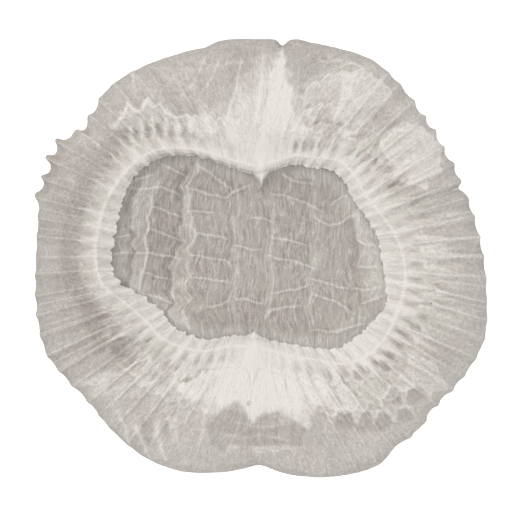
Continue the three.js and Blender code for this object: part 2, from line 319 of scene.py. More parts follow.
@dataclass(frozen=True)
class CapForm:
    """The cap's smooth form without its gathers, and where it lies in the row frame."""

    def middle(self) -> Array:
        """Middle of the CAD outline's box about the middle of the opening, in millimetres.

        Returns:
            Its x and y.
        """
        angle = np.arange(0, 360, COLUMN_ANGLE)
        wave = np.where(np.arange(len(angle)) % 2 == 0, 0.5, -0.5)
        reach = section("outline", angle) * HALF_WIDTH + wave * SCALLOP_DEPTH * section("scallop", angle)
        plan = polar(angle, reach)[:, :2]
        return (plan.min(axis=0) + plan.max(axis=0)) / 2.0

    def thread(self, inner: Array) -> Array:
        """Radius of the elastic at an angle of the opening."""
        return section("edge", inner) * HALF_WIDTH + section("frill", inner) * FRILL_WIDTH

    def rows(self, angle: Array) -> Array:
        """The sheet's rows for columns at these angles of the side fold, shape (11, columns, 3).

        Args:
            angle: the columns' angles in degrees.

        Returns:
            The rows' points in millimetres, z from the floor up.
        """
        inner = crowded(angle)
        outline = outline_radius(angle)
        thread = self.thread(inner)
        pinch = ELASTIC_WIDTH / 2 + GAP
        rim = polar(angle, outline)
        raw = polar(inner, thread + TURN_WIDTH)
        rows = [polar(angle, reach * outline) for reach in SIDE_REACH]
        rows += [rim + (raw - rim) * reach for reach in RING_REACH]
        radii = (thread + pinch, thread - pinch, section("edge", inner) * HALF_WIDTH)
        rows += [polar(inner, radius) for radius in radii]
        grid = np.stack(rows)
        grid[..., 2] = np.array(ROW_LIFT)[:, None] * LOFT
        return grid

    def surface(self, angle: Array, travel: Array) -> Array:
        """The smooth sheet at these columns and travels."""
        return loft(self.rows(angle), ROW_TRAVEL, travel)


@dataclass(frozen=True)
class Gathers:
    """The gathers round the opening, each with its own lean, strength and length."""

    seed: int = 11

    def phase(self, angle: Array) -> tuple[Array, Array]:
        """Number of the gather at an angle, and place across it from -0.5 to 0.5 with its ridge at 0.

        Args:
            angle: degrees at the side fold.

        Returns:
            The numbers and the places.
        """
        count = angle / GATHER_ANGLE
        drift = 0.16 * lattice(count, np.full_like(count, 3.0), 1.7, self.seed)
        count = count + drift
        number = np.round(count)
        return number.astype(int) % GATHERS, count - number

    def own(self, number: Array, low: float, high: float, stream: int) -> Array:
        """A seeded number for each gather, from low to high."""
        values = np.random.default_rng(self.seed + stream).uniform(low, high, GATHERS)
        return values[number]

    def wave(self, angle: Array) -> Array:
        """The broad gather from -0.5 in its valley to 0.5 on its ridge, leaning like a knife pleat.

        Args:
            angle: degrees at the side fold.

        Returns:
            The wave's height.
        """
        number, place = self.phase(angle)
        lean = self.own(number, 0.2, 0.7, 1)
        return 0.5 * np.cos(2 * np.pi * place + lean * np.sin(2 * np.pi * place))


FORM = CapForm()
GATHER = Gathers()


def broad_relief(angle: Array, travel: Array) -> Array:
    """Height of the gathers and scallops over the smooth sheet, as in the part's source.

    Args:
        angle: columns' angles at the side fold in degrees, as a grid.
        travel: travel along the cloth, as a grid.

    Returns:
        The height in millimetres.
    """
    ruffle = np.interp(travel, ROW_TRAVEL, ROW_RUFFLE) * RUFFLE_HEIGHT * section("ruffle", angle)
    size = np.clip(section("scallop", angle), 0.0, 2.0) ** 1.8
    scallop = np.interp(travel, ROW_TRAVEL, ROW_SCALLOP) * SCALLOP_DEPTH * 0.9 * size
    calm = (1.0 - 0.98 * bell(seal_distance(angle), 22.0)) ** 2
    return GATHER.wave(angle) * (ruffle * 0.62 * calm + scallop * calm)


def raised(travel: Array) -> Array:
    """How much of the ring's fine relief is left, from one outside the hem to nothing under its middle."""
    return 1.0 - smooth(TRAVEL_RAW + 3.0, TRAVEL_RAW + 9.0, travel)


def quiet(angle: Array) -> Array:
    """Nearly nothing on the fans beside the seals, where the pleats are pressed together, and one away."""
    return 1.0 - 0.94 * bell(seal_distance(angle), 19.0)


def seal_free(angle: Array) -> Array:
    """Zero on the seals and one away from them."""
    return smooth(5.0, 8.0, np.abs(seal_distance(angle)))


@dataclass(frozen=True)
class Patch:
    """A layer of cloth or a gap in it, outlined in pixels of the photograph.

    tone is how many plies it adds, lift how far it stands up in millimetres, soft the width of its
    edge and rim the brightness of the fold along it. flames is how far its edge runs out and in along
    the gathers, in millimetres.
    """

    corners: tuple[tuple[float, float], ...]
    tone: float
    lift: float = 0.0
    soft: float = 1.2
    rim: float = 0.0
    flames: float = 0.0

    def apply(self, x: Array, y: Array, tone: Array, lift: Array) -> None:
        """Adds the patch to the tone and lift fields in place.

        Args:
            x: points' first coordinate, in millimetres about the opening's middle.
            y: points' second coordinate.
            tone: tone of each point, changed in place.
            lift: height of each point in millimetres, changed in place.
        """
        ragged = 1.6 * lattice(x, y, 4.6, 71) + 0.7 * lattice(x, y, 2.0, 72)
        depth = inside(x, y, from_photo(self.corners)) + ragged
        angle, radius = np.degrees(np.arctan2(y, x)), np.hypot(x, y)
        if self.flames:
            depth = depth + self.flames * lattice(angle / 2.2, radius / 45.0, 1.0, 77)
            depth = depth + 0.6 * self.flames * lattice(angle / 1.1, radius / 30.0, 1.0, 78)
        share = smooth(-self.soft / 2, self.soft / 2, depth)
        tone += self.tone * share + 1.5 * self.rim * bell(depth - 0.5, 0.7)
        lift += self.lift * share


@dataclass(frozen=True)
class Streak:
    """A thin fold that shows light, from one pixel of the photograph to another, with both widths in
    millimetres."""

    line: tuple[tuple[float, float], ...]
    tone: float
    wide: float = 1.0
    narrow: float = 0.4
    lift: float = 0.3

    def apply(self, x: Array, y: Array, tone: Array, lift: Array) -> None:
        """Adds the streak to the tone and lift fields in place.

        Args:
            x: points' first coordinate, in millimetres about the opening's middle.
            y: points' second coordinate.
            tone: tone of each point, changed in place.
            lift: height of each point in millimetres, changed in place.
        """
        shift = 0.5 * lattice(x, y, 4.0, 73)
        away, share = line_distance(x + shift, y - shift, from_photo(self.line))
        width = self.wide + (self.narrow - self.wide) * share
        ends = np.clip(np.minimum(share, 1 - share) * 8 + 0.25, 0, 1)
        ridge = bell(away, width) * ends
        tone += self.tone * ridge
        lift += self.lift * ridge


@dataclass(frozen=True)
class Cell:
    """A hollow between two pleats that shows dark: a lens about one pixel of the photograph, with its
    half length and half width in millimetres and its length's direction in degrees."""

    centre: tuple[float, float]
    length: float
    width: float
    turn: float
    tone: float

    def apply(self, x: Array, y: Array, tone: Array, lift: Array) -> None:
        """Adds the cell to the tone and lift fields in place.

        Args:
            x: points' first coordinate, in millimetres about the opening's middle.
            y: points' second coordinate.
            tone: tone of each point, changed in place.
            lift: height of each point in millimetres, changed in place.
        """
        at = from_photo((self.centre,))[0]
        turn = math.radians(self.turn)
        along = (x - at[0]) * math.cos(turn) + (y - at[1]) * math.sin(turn)
        across = (y - at[1]) * math.cos(turn) - (x - at[0]) * math.sin(turn)
        across = across + 0.5 * lattice(x, y, 2.5, 80)
        share = 1.0 - smooth(0.45, 1.25, np.hypot(along / self.length, across / self.width))
        tone += self.tone * share
        lift += self.tone * share


@dataclass(frozen=True)
class FlapEdge:
    """A fold across several gathers, whose free edge runs in lobes or teeth.

    The line is in pixels of the photograph; the cloth inside it, towards the opening, is brighter by
    tone and fades over so many millimetres. scallop is the lobes' depth in millimetres, pitch their
    width in degrees.
    """

    line: tuple[tuple[float, float], ...]
    scallop: float
    pitch: float
    tone: float
    fade: float
    rim: float = 0.2
    lift: float = 0.5
    pointed: bool = False

    def apply(self, x: Array, y: Array, tone: Array, lift: Array) -> None:
        """Adds the flap to the tone and lift fields in place.

        Args:
            x: points' first coordinate, in millimetres about the opening's middle.
            y: points' second coordinate.
            tone: tone of each point, changed in place.
            lift: height of each point in millimetres, changed in place.
        """
        line = from_photo(self.line)
        at = np.degrees(np.arctan2(line[:, 1], line[:, 0]))
        middle = at[len(at) // 2]
        at = wrapped(at - middle)
        order = np.argsort(at)
        place = wrapped(np.degrees(np.arctan2(y, x)) - middle)
        swing = place / self.pitch + 0.35 * lattice(place / self.pitch, place * 0.0, 1.3, 75)
        share = swing - np.floor(swing)
        tooth = 1.0 - np.abs(2 * share - 1.0) if self.pointed else np.abs(np.sin(np.pi * share))
        size = self.scallop * (1.0 + 0.5 * lattice(np.floor(swing), place * 0.0, 0.9, 76))
        radius = np.interp(place, at[order], np.linalg.norm(line, axis=1)[order]) + size * (tooth - 0.6)
        depth = radius - np.hypot(x, y) + 0.5 * lattice(x, y, 2.6, 74)
        ends = smooth(at.min(), at.min() + 2.5, place) * (1 - smooth(at.max() - 2.5, at.max(), place))
        cloth = smooth(-0.4, 0.5, depth) * np.exp(-np.maximum(depth, 0.0) / self.fade) * ends
        tone += self.tone * cloth + 1.5 * self.rim * bell(depth - 0.4, 0.7) * ends
        # painted shade: a dark band just outside the flap's free edge
        tone -= 0.5 * self.rim * bell(depth + 1.5, 1.3) * ends
        lift += self.lift * cloth


@dataclass(frozen=True)
class RingSector:
    """How the ring looks about one angle: its own tone, the streaks' strength and length in
    millimetres, the dark cells between them, and fine lines."""

    at: float
    tone: float
    streak: float
    length: float
    cells: float
    fine: float


RING_SECTORS = (
    RingSector(0, 0.43, 0.6, 26, 0.45, 0.10), RingSector(20, 0.42, 0.5, 24, 0.4, 0.10),
    RingSector(40, 0.46, 0.35, 16, 0.3, 0.06), RingSector(60, 0.44, 0.2, 12, 0.3, 0.05),
    RingSector(80, 0.32, 0.1, 10, 0.15, 0.03), RingSector(100, 0.34, 0.12, 10, 0.15, 0.03),
    RingSector(120, 0.36, 0.2, 8, 0.1, 0.05), RingSector(140, 0.34, 0.5, 5, 0.1, 0.06),
    RingSector(160, 0.27, 0.55, 4, 0.1, 0.07), RingSector(180, 0.26, 0.55, 4, 0.1, 0.07),
    RingSector(200, 0.31, 0.6, 6, 0.25, 0.07), RingSector(220, 0.34, 0.55, 18, 0.5, 0.08),
    RingSector(240, 0.44, 0.4, 14, 0.3, 0.05), RingSector(260, 0.43, 0.06, 6, 0.1, 0.01),
    RingSector(280, 0.45, 0.06, 6, 0.1, 0.01), RingSector(300, 0.46, 0.3, 10, 0.1, 0.03),
    RingSector(320, 0.5, 0.4, 16, 0.2, 0.05), RingSector(340, 0.47, 0.6, 24, 0.3, 0.08),
)

PLEAT_CELLS = (
    # back right, in two rows and a few by themselves
    Cell((295, 147), 3.6, 1.5, 82, -0.5), Cell((304, 146), 3.6, 1.5, 78, -0.55),
    Cell((312, 145), 3.4, 1.4, 74, -0.5), Cell((320, 144), 3.2, 1.3, 70, -0.4),
    Cell((328, 146), 3.0, 1.3, 64, -0.4), Cell((351, 152), 4.2, 1.3, 38, -0.5),
    Cell((359, 154), 4.4, 1.4, 40, -0.5), Cell((366, 158), 4.4, 1.4, 40, -0.5),
    Cell((373, 163), 4.0, 1.3, 38, -0.45), Cell((380, 168), 3.6, 1.2, 36, -0.35),
    Cell((387, 188), 4.0, 1.3, 34, -0.4), Cell((394, 185), 4.4, 1.3, 34, -0.5),
    Cell((402, 183), 4.2, 1.2, 32, -0.4), Cell((316, 124), 3.0, 1.4, 70, -0.3),
    Cell((327, 121), 3.0, 1.4, 64, -0.3), Cell((338, 126), 3.0, 1.6, 58, -0.35),
    Cell((302, 92), 3.0, 1.6, 60, -0.3), Cell((308, 108), 3.0, 1.6, 70, -0.3),
    Cell((306, 126), 3.0, 1.4, 76, -0.3),
    # back left, between the pillars and down the flank
    Cell((127, 142), 4.6, 2.0, 128, -0.3), Cell((137, 136), 5.4, 2.2, 112, -0.32),
    Cell((148, 134), 5.4, 2.2, 104, -0.34), Cell((160, 131), 5.0, 2.4, 100, -0.34),
    Cell((172, 132), 4.6, 2.2, 98, -0.34), Cell((184, 133), 4.0, 2.0, 95, -0.32),
    Cell((196, 135), 3.4, 1.8, 94, -0.28), Cell((118, 156), 4.0, 2.0, 138, -0.3),
    Cell((110, 168), 3.8, 1.8, 145, -0.28), Cell((104, 180), 3.4, 1.6, 150, -0.25),
    # front right, outside the elastic
    Cell((330, 376), 3.4, 1.3, -72, -0.3), Cell((343, 380), 3.6, 1.4, -60, -0.35),
    Cell((357, 376), 4.0, 2.3, -50, -0.6), Cell((368, 370), 3.0, 1.4, -48, -0.4),
    Cell((384, 365), 4.4, 2.6, -40, -0.6), Cell((391, 355), 3.2, 1.7, -38, -0.55),
    Cell((400, 346), 3.0, 1.4, -34, -0.4), Cell((408, 337), 3.0, 1.5, -30, -0.4),
    Cell((415, 327), 4.0, 2.2, -25, -0.6), Cell((421, 316), 3.4, 1.8, -20, -0.5),
    Cell((427, 303), 3.0, 1.5, -15, -0.4), Cell((430, 290), 2.8, 1.3, -10, -0.3),
    # front left, between the band and the diagonal flap
    Cell((187, 379), 4.2, 1.7, 22, -0.42), Cell((198, 373), 3.6, 1.4, 40, -0.38),
    Cell((207, 369), 3.2, 1.1, 60, -0.35), Cell((178, 366), 3.4, 1.3, -130, -0.4),
    Cell((168, 362), 3.4, 1.3, -134, -0.35), Cell((156, 356), 3.6, 1.4, -138, -0.35),
    Cell((144, 348), 3.8, 1.5, -142, -0.35), Cell((132, 340), 3.8, 1.5, -146, -0.3),
    Cell((118, 330), 4.6, 1.8, -150, -0.3), Cell((106, 316), 4.2, 1.7, -155, -0.25),
)

FLAP_EDGES = (
    FlapEdge(((316, 414), (342, 412), (370, 406), (398, 394), (424, 376)), 4.0, 5.2, 0.12, 10, 0.24),
    FlapEdge(((296, 394), (324, 386), (352, 376), (380, 362)), 3.0, 4.8, 0.12, 8, 0.18, 0.4),
    FlapEdge(((300, 96), (318, 82), (336, 74), (356, 74)), 3.0, 4.4, 0.08, 9, 0.2),
    FlapEdge(((296, 118), (316, 106), (336, 106), (352, 112)), 3.0, 4.0, 0.1, 8, 0.2),
    FlapEdge(((298, 134), (320, 124), (342, 130), (358, 144)), 2.6, 4.0, 0.1, 8, 0.16),
    FlapEdge(((186, 116), (204, 118), (226, 122), (244, 118)), 3.6, 4.4, 0.1, 9, 0.2),
    FlapEdge(((118, 360), (146, 388), (176, 402), (206, 410)), 3.0, 6.0, 0.1, 9, 0.14, 0.4),
    FlapEdge(((166, 66), (196, 70), (224, 64), (252, 62)), 2.4, 7.0, 0.05, 9, 0.08, 0.3),
    FlapEdge(((300, 70), (324, 62), (348, 62), (372, 74)), 2.6, 6.0, 0.05, 9, 0.1, 0.3),
)

RING_PATCHES: tuple[Patch | Streak, ...] = (
    # back: the white fan with its spike to the notch, and a dark hollow on each side of the spike
    Patch(((188, 122), (206, 108), (228, 104), (246, 76), (262, 62), (284, 46), (296, 84), (312, 108),
           (314, 140), (262, 168), (214, 152)), 0.24, 0.2, 9, 0.0, 3.0),
    Patch(((226, 124), (240, 100), (262, 84), (284, 50), (294, 96), (304, 130), (262, 166), (230, 146)),
          0.27, 0.2, 7, 0.0, 3.0),
    Patch(((283, 47), (276, 64), (270, 96), (262, 130), (298, 130), (294, 100), (289, 70)),
          0.22, 0.2, 3.5, 0.04, 1.5),
    Patch(((298, 62), (322, 54), (334, 62), (322, 76), (304, 84)), -0.16, -0.3, 6),
    Patch(((236, 52), (252, 50), (248, 72), (236, 84), (228, 72)), -0.14, -0.3, 6),
    # back right: three bright flaps with the skirt's grey between them
    Patch(((300, 84), (318, 74), (338, 72), (356, 74), (350, 96), (340, 118), (322, 124), (304, 118)),
          0.14, 0.4, 2.6, 0.07),
    Patch(((340, 74), (362, 70), (384, 82), (392, 96), (376, 112), (360, 134), (342, 138), (332, 122),
           (340, 98)), 0.24, 0.4, 2.2, 0.07),
    Patch(((364, 112), (380, 106), (390, 116), (402, 122), (392, 130), (380, 126)), -0.16, -0.3, 4),
    Patch(((404, 121), (424, 128), (440, 146), (442, 168), (424, 188), (400, 184), (388, 168), (380, 146),
           (390, 132)), 0.27, 0.4, 1.8, 0.1),
    Streak(((440, 145), (430, 134), (410, 130), (390, 129), (380, 141), (388, 158), (400, 170)),
           0.2, 0.8, 0.8),
    # back left: the crown of teeth, and the pillars that carry it over grey cells
    Patch(((112, 126), (120, 112), (128, 104), (137, 112), (148, 99), (158, 108), (168, 112), (180, 119),
           (196, 116), (214, 114), (222, 134), (192, 136), (160, 128), (130, 134)), 0.2, 0.4, 2.4, 0.0, 1.0),
    Streak(((114, 128), (124, 118), (128, 104), (136, 113), (143, 111), (148, 99), (154, 109), (160, 104),
            (166, 113), (176, 119), (186, 115), (196, 122)), 0.48, 1.0, 0.9),
    Streak(((118, 138), (124, 142), (134, 156)), 0.3, 1.4, 1.8),
    Streak(((131, 124), (132, 138), (138, 150)), 0.34, 1.2, 2.0),
    Streak(((142, 118), (143, 132), (142, 148)), 0.4, 1.1, 1.9),
    Streak(((153, 116), (154, 130), (152, 146)), 0.4, 1.1, 1.9),
    Streak(((166, 118), (167, 130), (164, 143)), 0.4, 1.1, 1.9),
    Streak(((178, 122), (180, 132), (176, 143)), 0.4, 1.1, 1.9),
    Streak(((190, 122), (191, 132), (189, 143)), 0.4, 1.1, 1.9),
    Streak(((202, 124), (203, 134), (202, 144)), 0.36, 1.1, 1.9),
    # front right
    Patch(((410, 350), (436, 364), (448, 390), (424, 394), (398, 378)), 0.18, 0.4, 2.4, 0.08),
    Patch(((318, 384), (340, 386), (362, 398), (352, 414), (324, 406), (304, 398)),
          0.22, 0.4, 2.4, 0.08, 1.5),
    Patch(((336, 419), (340, 412), (346, 410), (352, 413), (354, 424), (346, 430), (338, 428)),
          -0.24, -0.3, 3.5),
    Patch(((358, 419), (362, 412), (367, 411), (372, 415), (373, 426), (365, 432), (358, 428)),
          -0.24, -0.3, 3.5),
    Patch(((376, 419), (380, 413), (385, 412), (390, 416), (391, 426), (383, 432), (376, 428)),
          -0.24, -0.3, 3.5),
    Patch(((394, 417), (399, 410), (405, 408), (411, 412), (412, 420), (404, 426), (396, 424)),
          -0.24, -0.3, 3.5),
    Patch(((386, 397), (390, 388), (395, 387), (401, 392), (402, 400), (394, 403)), -0.22, -0.3, 3),
    Patch(((405, 397), (410, 388), (417, 386), (424, 390), (427, 397), (415, 402)), -0.22, -0.3, 3),
    Streak(((326, 412), (334, 419), (338, 410), (345, 407), (352, 411), (356, 420), (360, 411),
            (366, 408), (371, 412), (374, 420), (378, 411), (384, 409), (389, 413), (393, 420),
            (397, 409), (404, 405), (411, 409), (415, 418)), 0.3, 1.3, 1.2),
    Streak(((372, 392), (383, 400), (387, 388), (393, 384), (400, 389), (403, 400), (408, 388),
            (416, 383), (424, 387), (429, 397), (434, 386)), 0.26, 1.2, 1.2),
    # front: the white fan, and below it the skirt behind a jagged border
    Patch(((178, 386), (196, 379), (214, 356), (240, 336), (290, 336), (316, 360), (334, 388), (320, 404),
           (308, 428), (296, 420), (286, 418), (277, 410), (262, 414), (252, 421), (244, 412), (236, 403),
           (222, 410), (212, 416), (204, 404), (188, 400)), 0.34, 0.2, 3.5, 0.0, 1.5),
    Patch(((206, 396), (228, 362), (248, 342), (262, 338), (282, 346), (306, 380), (304, 412), (284, 410),
           (264, 408), (252, 415), (240, 402), (222, 404)), 0.22, 0.2, 6, 0.0, 1.5),
    Patch(((210, 444), (208, 424), (213, 419), (223, 412), (232, 407), (240, 408), (252, 423), (262, 418),
           (280, 412), (284, 421), (294, 422), (306, 430), (304, 446), (258, 446), (222, 448)),
          -0.2, -0.3, 2.5, 0.0, 1.0),
    Patch(((246, 402), (248, 398), (251, 401), (249, 404)), -0.5, -0.2, 1.0),
    # front left: the diagonal band, its rays and wedges
    Patch(((80, 384), (104, 404), (150, 394), (200, 398), (206, 372), (184, 350), (130, 362)),
          0.19, 0.3, 7, 0.0, 3.0),
    Patch(((140, 418), (156, 420), (152, 450), (142, 446)), -0.2, -0.3, 2.5, 0.1),
    Patch(((160, 418), (172, 418), (174, 440), (162, 440)), -0.2, -0.3, 2.5, 0.1),
    Patch(((108, 346), (122, 340), (128, 354), (116, 360)), -0.25, -0.4, 3),
    Patch(((80, 300), (96, 296), (104, 330), (112, 356), (98, 352), (86, 328)), -0.18, -0.3, 4, 0.0, 2.0),
    Streak(((135, 424), (143, 442), (151, 460)), 0.34, 1.4, 0.6),
    Streak(((155, 420), (160, 442), (166, 460)), 0.34, 1.4, 0.6),
    Streak(((170, 415), (171, 428), (173, 442)), 0.34, 1.2, 0.6),
    Streak(((182, 398), (174, 424), (180, 452)), 0.28, 1.4, 0.6),
    Streak(((204, 402), (204, 426), (198, 452)), 0.3, 1.6, 0.8),
    Streak(((116, 408), (126, 428), (130, 446)), 0.25, 1.2, 0.6),
    Streak(((84, 384), (120, 372), (160, 352)), 0.2, 1.8, 1.2),
    # back: thin lines, from the skirt down to the fan
    Streak(((222, 54), (214, 76), (196, 104)), 0.25, 0.7, 0.6),
    Streak(((206, 56), (196, 80), (180, 100)), 0.22, 0.7, 0.6),
    Streak(((242, 56), (236, 90), (226, 128)), 0.3, 0.9, 1.2),
    Streak(((208, 82), (209, 96), (207, 110)), 0.22, 0.7, 0.8),
    Streak(((262, 52), (262, 80), (256, 128)), 0.26, 0.7, 1.6),
    Streak(((283, 48), (280, 84), (268, 138)), 0.3, 0.6, 2.4),
    Streak(((300, 66), (296, 96), (282, 136)), 0.2, 0.6, 1.2),
    Streak(((131, 70), (144, 84), (155, 100)), 0.28, 0.8, 0.9),
    Streak(((133, 74), (135, 86), (136, 98)), 0.2, 0.7, 0.8),
    Streak(((320, 62), (344, 60), (366, 70)), 0.22, 0.7, 0.7),
    Streak(((322, 66), (334, 70), (346, 66)), 0.2, 0.7, 0.7),
    Streak(((242, 412), (236, 432), (224, 458)), 0.2, 0.7, 0.5),
    Streak(((262, 424), (258, 440), (262, 456)), 0.18, 0.7, 0.5),
    Streak(((280, 420), (284, 438), (296, 456)), 0.18, 0.7, 0.5),
    Streak(((218, 432), (244, 438), (262, 434), (290, 440)), 0.22, 0.7, 0.6),
    Streak(((226, 446), (250, 446), (276, 450), (304, 446)), 0.22, 0.7, 0.6),
    Streak(((236, 422), (256, 426), (282, 424)), 0.2, 0.6, 0.6),
)

CREASES = (
    ((158, 162), (172, 169), (188, 177)), ((127, 183), (140, 178), (153, 173)),
    ((127, 185), (138, 190), (160, 187), (183, 195)), ((150, 206), (155, 207), (183, 218)),
    ((148, 227), (166, 235), (185, 242)), ((111, 236), (130, 235)), ((106, 255), (127, 253)),
    ((130, 253), (147, 253), (166, 256), (185, 259)), ((142, 273), (170, 279)),
    ((138, 293), (158, 298), (177, 305)), ((197, 165), (216, 177), (233, 190)),
    ((187, 186), (206, 193), (225, 198), (234, 190), (252, 185)), ((188, 211), (215, 212)),
    ((196, 233), (228, 238)), ((188, 255), (210, 258), (228, 262), (232, 268)), ((190, 277), (230, 282)),
    ((233, 297), (265, 305)), ((205, 308), (218, 306), (230, 301)), ((278, 172), (294, 181), (318, 185)),
    ((270, 193), (296, 199), (313, 205), (326, 213)),
    ((313, 215), (320, 221), (330, 225), (342, 222), (355, 214)), ((270, 237), (290, 241), (309, 246)),
    ((267, 256), (290, 260), (306, 265), (314, 268), (308, 279)), ((309, 279), (330, 285), (352, 289)),
    ((352, 289), (365, 291), (387, 286)), ((270, 294), (294, 290), (311, 285)),
    ((311, 294), (333, 300), (356, 316)), ((264, 320), (270, 311), (285, 308), (304, 306)),
    ((309, 331), (339, 332), (354, 326), (368, 323)), ((357, 241), (380, 246)), ((357, 266), (387, 267)),
    ((361, 304), (376, 300), (391, 293)), ((250, 217), (275, 222)), ((232, 244), (252, 250), (262, 249)),
    ((330, 204), (344, 196), (352, 198)),
)


@dataclass(frozen=True)
class PleatFold:
    """A pleat of the crown's base that has opened into a zigzag strip.

    Each row is a pixel's y in the photograph, then the x of the strip's left and right borders.
    """

    rows: tuple[tuple[float, float, float], ...]
    strength: float = 1.0

    def borders(self, y: Array) -> tuple[Array, Array, Array]:
        """Where the strip's borders lie at each y in millimetres: x of the left one and of the right one,
        and a strength that falls to nothing at the strip's ends.

        Args:
            y: points' second coordinate, in millimetres.

        Returns:
            The left border, the right border and the strength.
        """
        rows = np.array(self.rows)[::-1]
        height = (PHOTO_OPENING[1] - rows[:, 0]) * PIXEL
        left = np.interp(y, height, (rows[:, 1] - PHOTO_OPENING[0]) * PIXEL)
        right = np.interp(y, height, (rows[:, 2] - PHOTO_OPENING[0]) * PIXEL)
        ends = smooth(height[0], height[0] + 6.0, y) * (1 - smooth(height[-1] - 5.0, height[-1], y))
        return left, right, ends * self.strength


PLEAT_FOLDS = (
    PleatFold(((158, 197, 201), (172, 191, 197), (186, 181, 186), (194, 184, 190), (210, 182, 187),
               (217, 185, 193), (224, 182, 190), (233, 177, 197), (242, 185, 192), (250, 177, 187),
               (256, 175, 192), (267, 169, 186), (277, 174, 191), (284, 173, 184), (292, 170, 186),
               (298, 173, 192), (304, 177, 187), (312, 167, 182), (322, 171, 187), (336, 178, 190))),
    PleatFold(((176, 146, 158), (188, 139, 158), (197, 133, 152), (207, 132, 151), (218, 133, 147),
               (227, 131, 149), (236, 138, 145), (243, 130, 145), (252, 137, 147), (263, 131, 145),
               (273, 134, 142), (281, 131, 140), (290, 128, 139), (302, 134, 142)), 1.25),
    PleatFold(((206, 354, 358), (224, 356, 361), (237, 358, 361), (246, 360, 378), (256, 362, 382),
               (265, 358, 378), (271, 362, 386), (280, 360, 383), (287, 364, 391), (296, 362, 387),
               (304, 366, 390)), 0.8),
    PleatFold(((170, 312, 316), (196, 314, 318), (214, 311, 316), (232, 314, 318), (252, 311, 315),
               (268, 311, 317), (279, 306, 312), (294, 311, 315), (312, 306, 310), (330, 310, 316)), 0.3),
    PleatFold(((186, 233, 238), (204, 236, 241), (222, 232, 238), (240, 236, 242), (262, 230, 237),
               (280, 233, 240), (300, 228, 234), (322, 232, 238)), 0.3),
    PleatFold(((176, 270, 274), (198, 267, 271), (216, 272, 276), (238, 267, 272), (256, 265, 270),
               (276, 270, 274), (296, 266, 270), (322, 262, 267)), 0.35),
)


def sector(key: str, angle: Array) -> Array:
    """One field of RING_SECTORS at any angle."""
    return field_at(RING_SECTORS, key, angle)


def ring_look(angle: Array, travel: Array, points: Array) -> tuple[Array, Array]:
    """Tone and fine height of the ring, from the side fold in to the hem.

    Each gather has a bright flame that is wide at the hem and narrows as it runs outward, and a dark
    cell beside it; fine lines run between; then the charted patches and streaks are added.

    Args:
        angle: columns' angles at the side fold, as a grid.
        travel: travel along the cloth, as a grid.
        points: the smooth surface, whose plan places the charted patches.

    Returns:
        Tone from 0 to 1 and fine height in millimetres.
    """
    number, place = GATHER.phase(angle)
    x, y = points[..., 0], points[..., 1]
    from_hem = np.maximum(TRAVEL_RAW + band("inset", crowded(angle)) - travel, 0.0)
    count = angle / GATHER_ANGLE
    outer = smooth(TRAVEL_SIDE - 4, TRAVEL_SIDE + 6, travel)
    free = seal_free(angle)
    lines = lattice(count * 2.3, from_hem / 22.0, 1.0, 21)
    lines = lines + 0.6 * lattice(count * 5.1, from_hem / 13.0, 1.0, 22)
    tone = sector("tone", angle) + sector("fine", angle) * lines + 0.05 * lattice(x, y, 16.0, 23)
    fan = 1.0 - quiet(angle)
    flames, fine = np.zeros(tone.shape), 0.16 * lines * (1.0 - 0.8 * fan)
    rings = lattice(np.hypot(x, y), count * 0.5, 2.2, 24)
    rings = rings + 0.7 * lattice(np.hypot(x, y), count * 0.8, 1.2, 25)
    tone = tone + 0.05 * rings * (0.4 + 0.8 * fan)
    for stream, part in ((2, 1.0), (8, 2.0)):
        swing = place if part == 1.0 else count * part - np.round(count * part)
        which = number if part == 1.0 else np.round(count * part).astype(int) % GATHERS
        length = sector("length", angle) * GATHER.own(which, 0.45, 1.5, stream) / part
        centre = GATHER.own(which, -0.12, 0.12, stream + 1)
        away = np.abs(swing - centre)
        width = 0.03 + 0.5 * np.clip(1 - from_hem / length, 0, 1) ** 1.5
        flame = 1.0 - smooth(width * 0.7, width * 1.15, away)
        tail = (1.0 - smooth(0.03, 0.13 * part, away)) * (1 - smooth(length * 0.8, length * 2.2, from_hem))
        strength = GATHER.own(which, 0.5, 1.1, stream + 2) * free * (1.0 if part == 1.0 else 0.6)
        strength = strength * (1.0 - 0.85 * fan)
        flames = np.maximum(flames, np.maximum(flame, 0.85 * tail) * strength)
        fine = fine + (0.3 * flame + 0.3 * tail) * strength / part
    gap = (1.0 - np.clip(flames, 0, 1)) * bell(from_hem - 4.0, 7.5) * free
    cell = gap * GATHER.own(number, 0.2, 1.2, 5) * (1.0 - fan)
    reach = np.clip(sector("streak", angle) * 1.5, 0, 1)
    tone = tone + (np.maximum(band("tone", crowded(angle)) + 0.06 - tone, 0.0)) * flames * reach
    # the cells are darker gaps between the flames; below the side fold the cloth is darkened by painted shade
    # where it faces out and down
    tone = tone - sector("cells", angle) * cell * 0.7 - 0.12 * (1.0 - outer)
    # painted light: the shoulder is lightened against its own relief shading
    tone = tone + 0.07 * bell(travel - TRAVEL_SIDE - 15.0, 8.0)
    warp_x, warp_y = x + 3.0 * lattice(x, y, 9.0, 33), y + 3.0 * lattice(x, y, 9.0, 34)
    for cell_size, seed, strength in ((17.0, 35, 0.13), (11.0, 36, 0.10), (7.0, 37, 0.07)):
        crease = 1.0 - smooth(0.015, 0.10, np.abs(lattice(warp_x, warp_y, cell_size, seed)))
        crease = crease * smooth(-0.3, 0.4, lattice(x, y, 19.0, seed + 20)) * outer
        tone = tone + strength * crease
        fine = fine + 0.22 * crease
    fine = fine - 0.4 * cell
    for mark in RING_PATCHES + FLAP_EDGES + PLEAT_CELLS:
        mark.apply(x, y, tone, fine)
    return np.clip(tone, 0.0, 1.0), np.maximum(fine, -0.8)


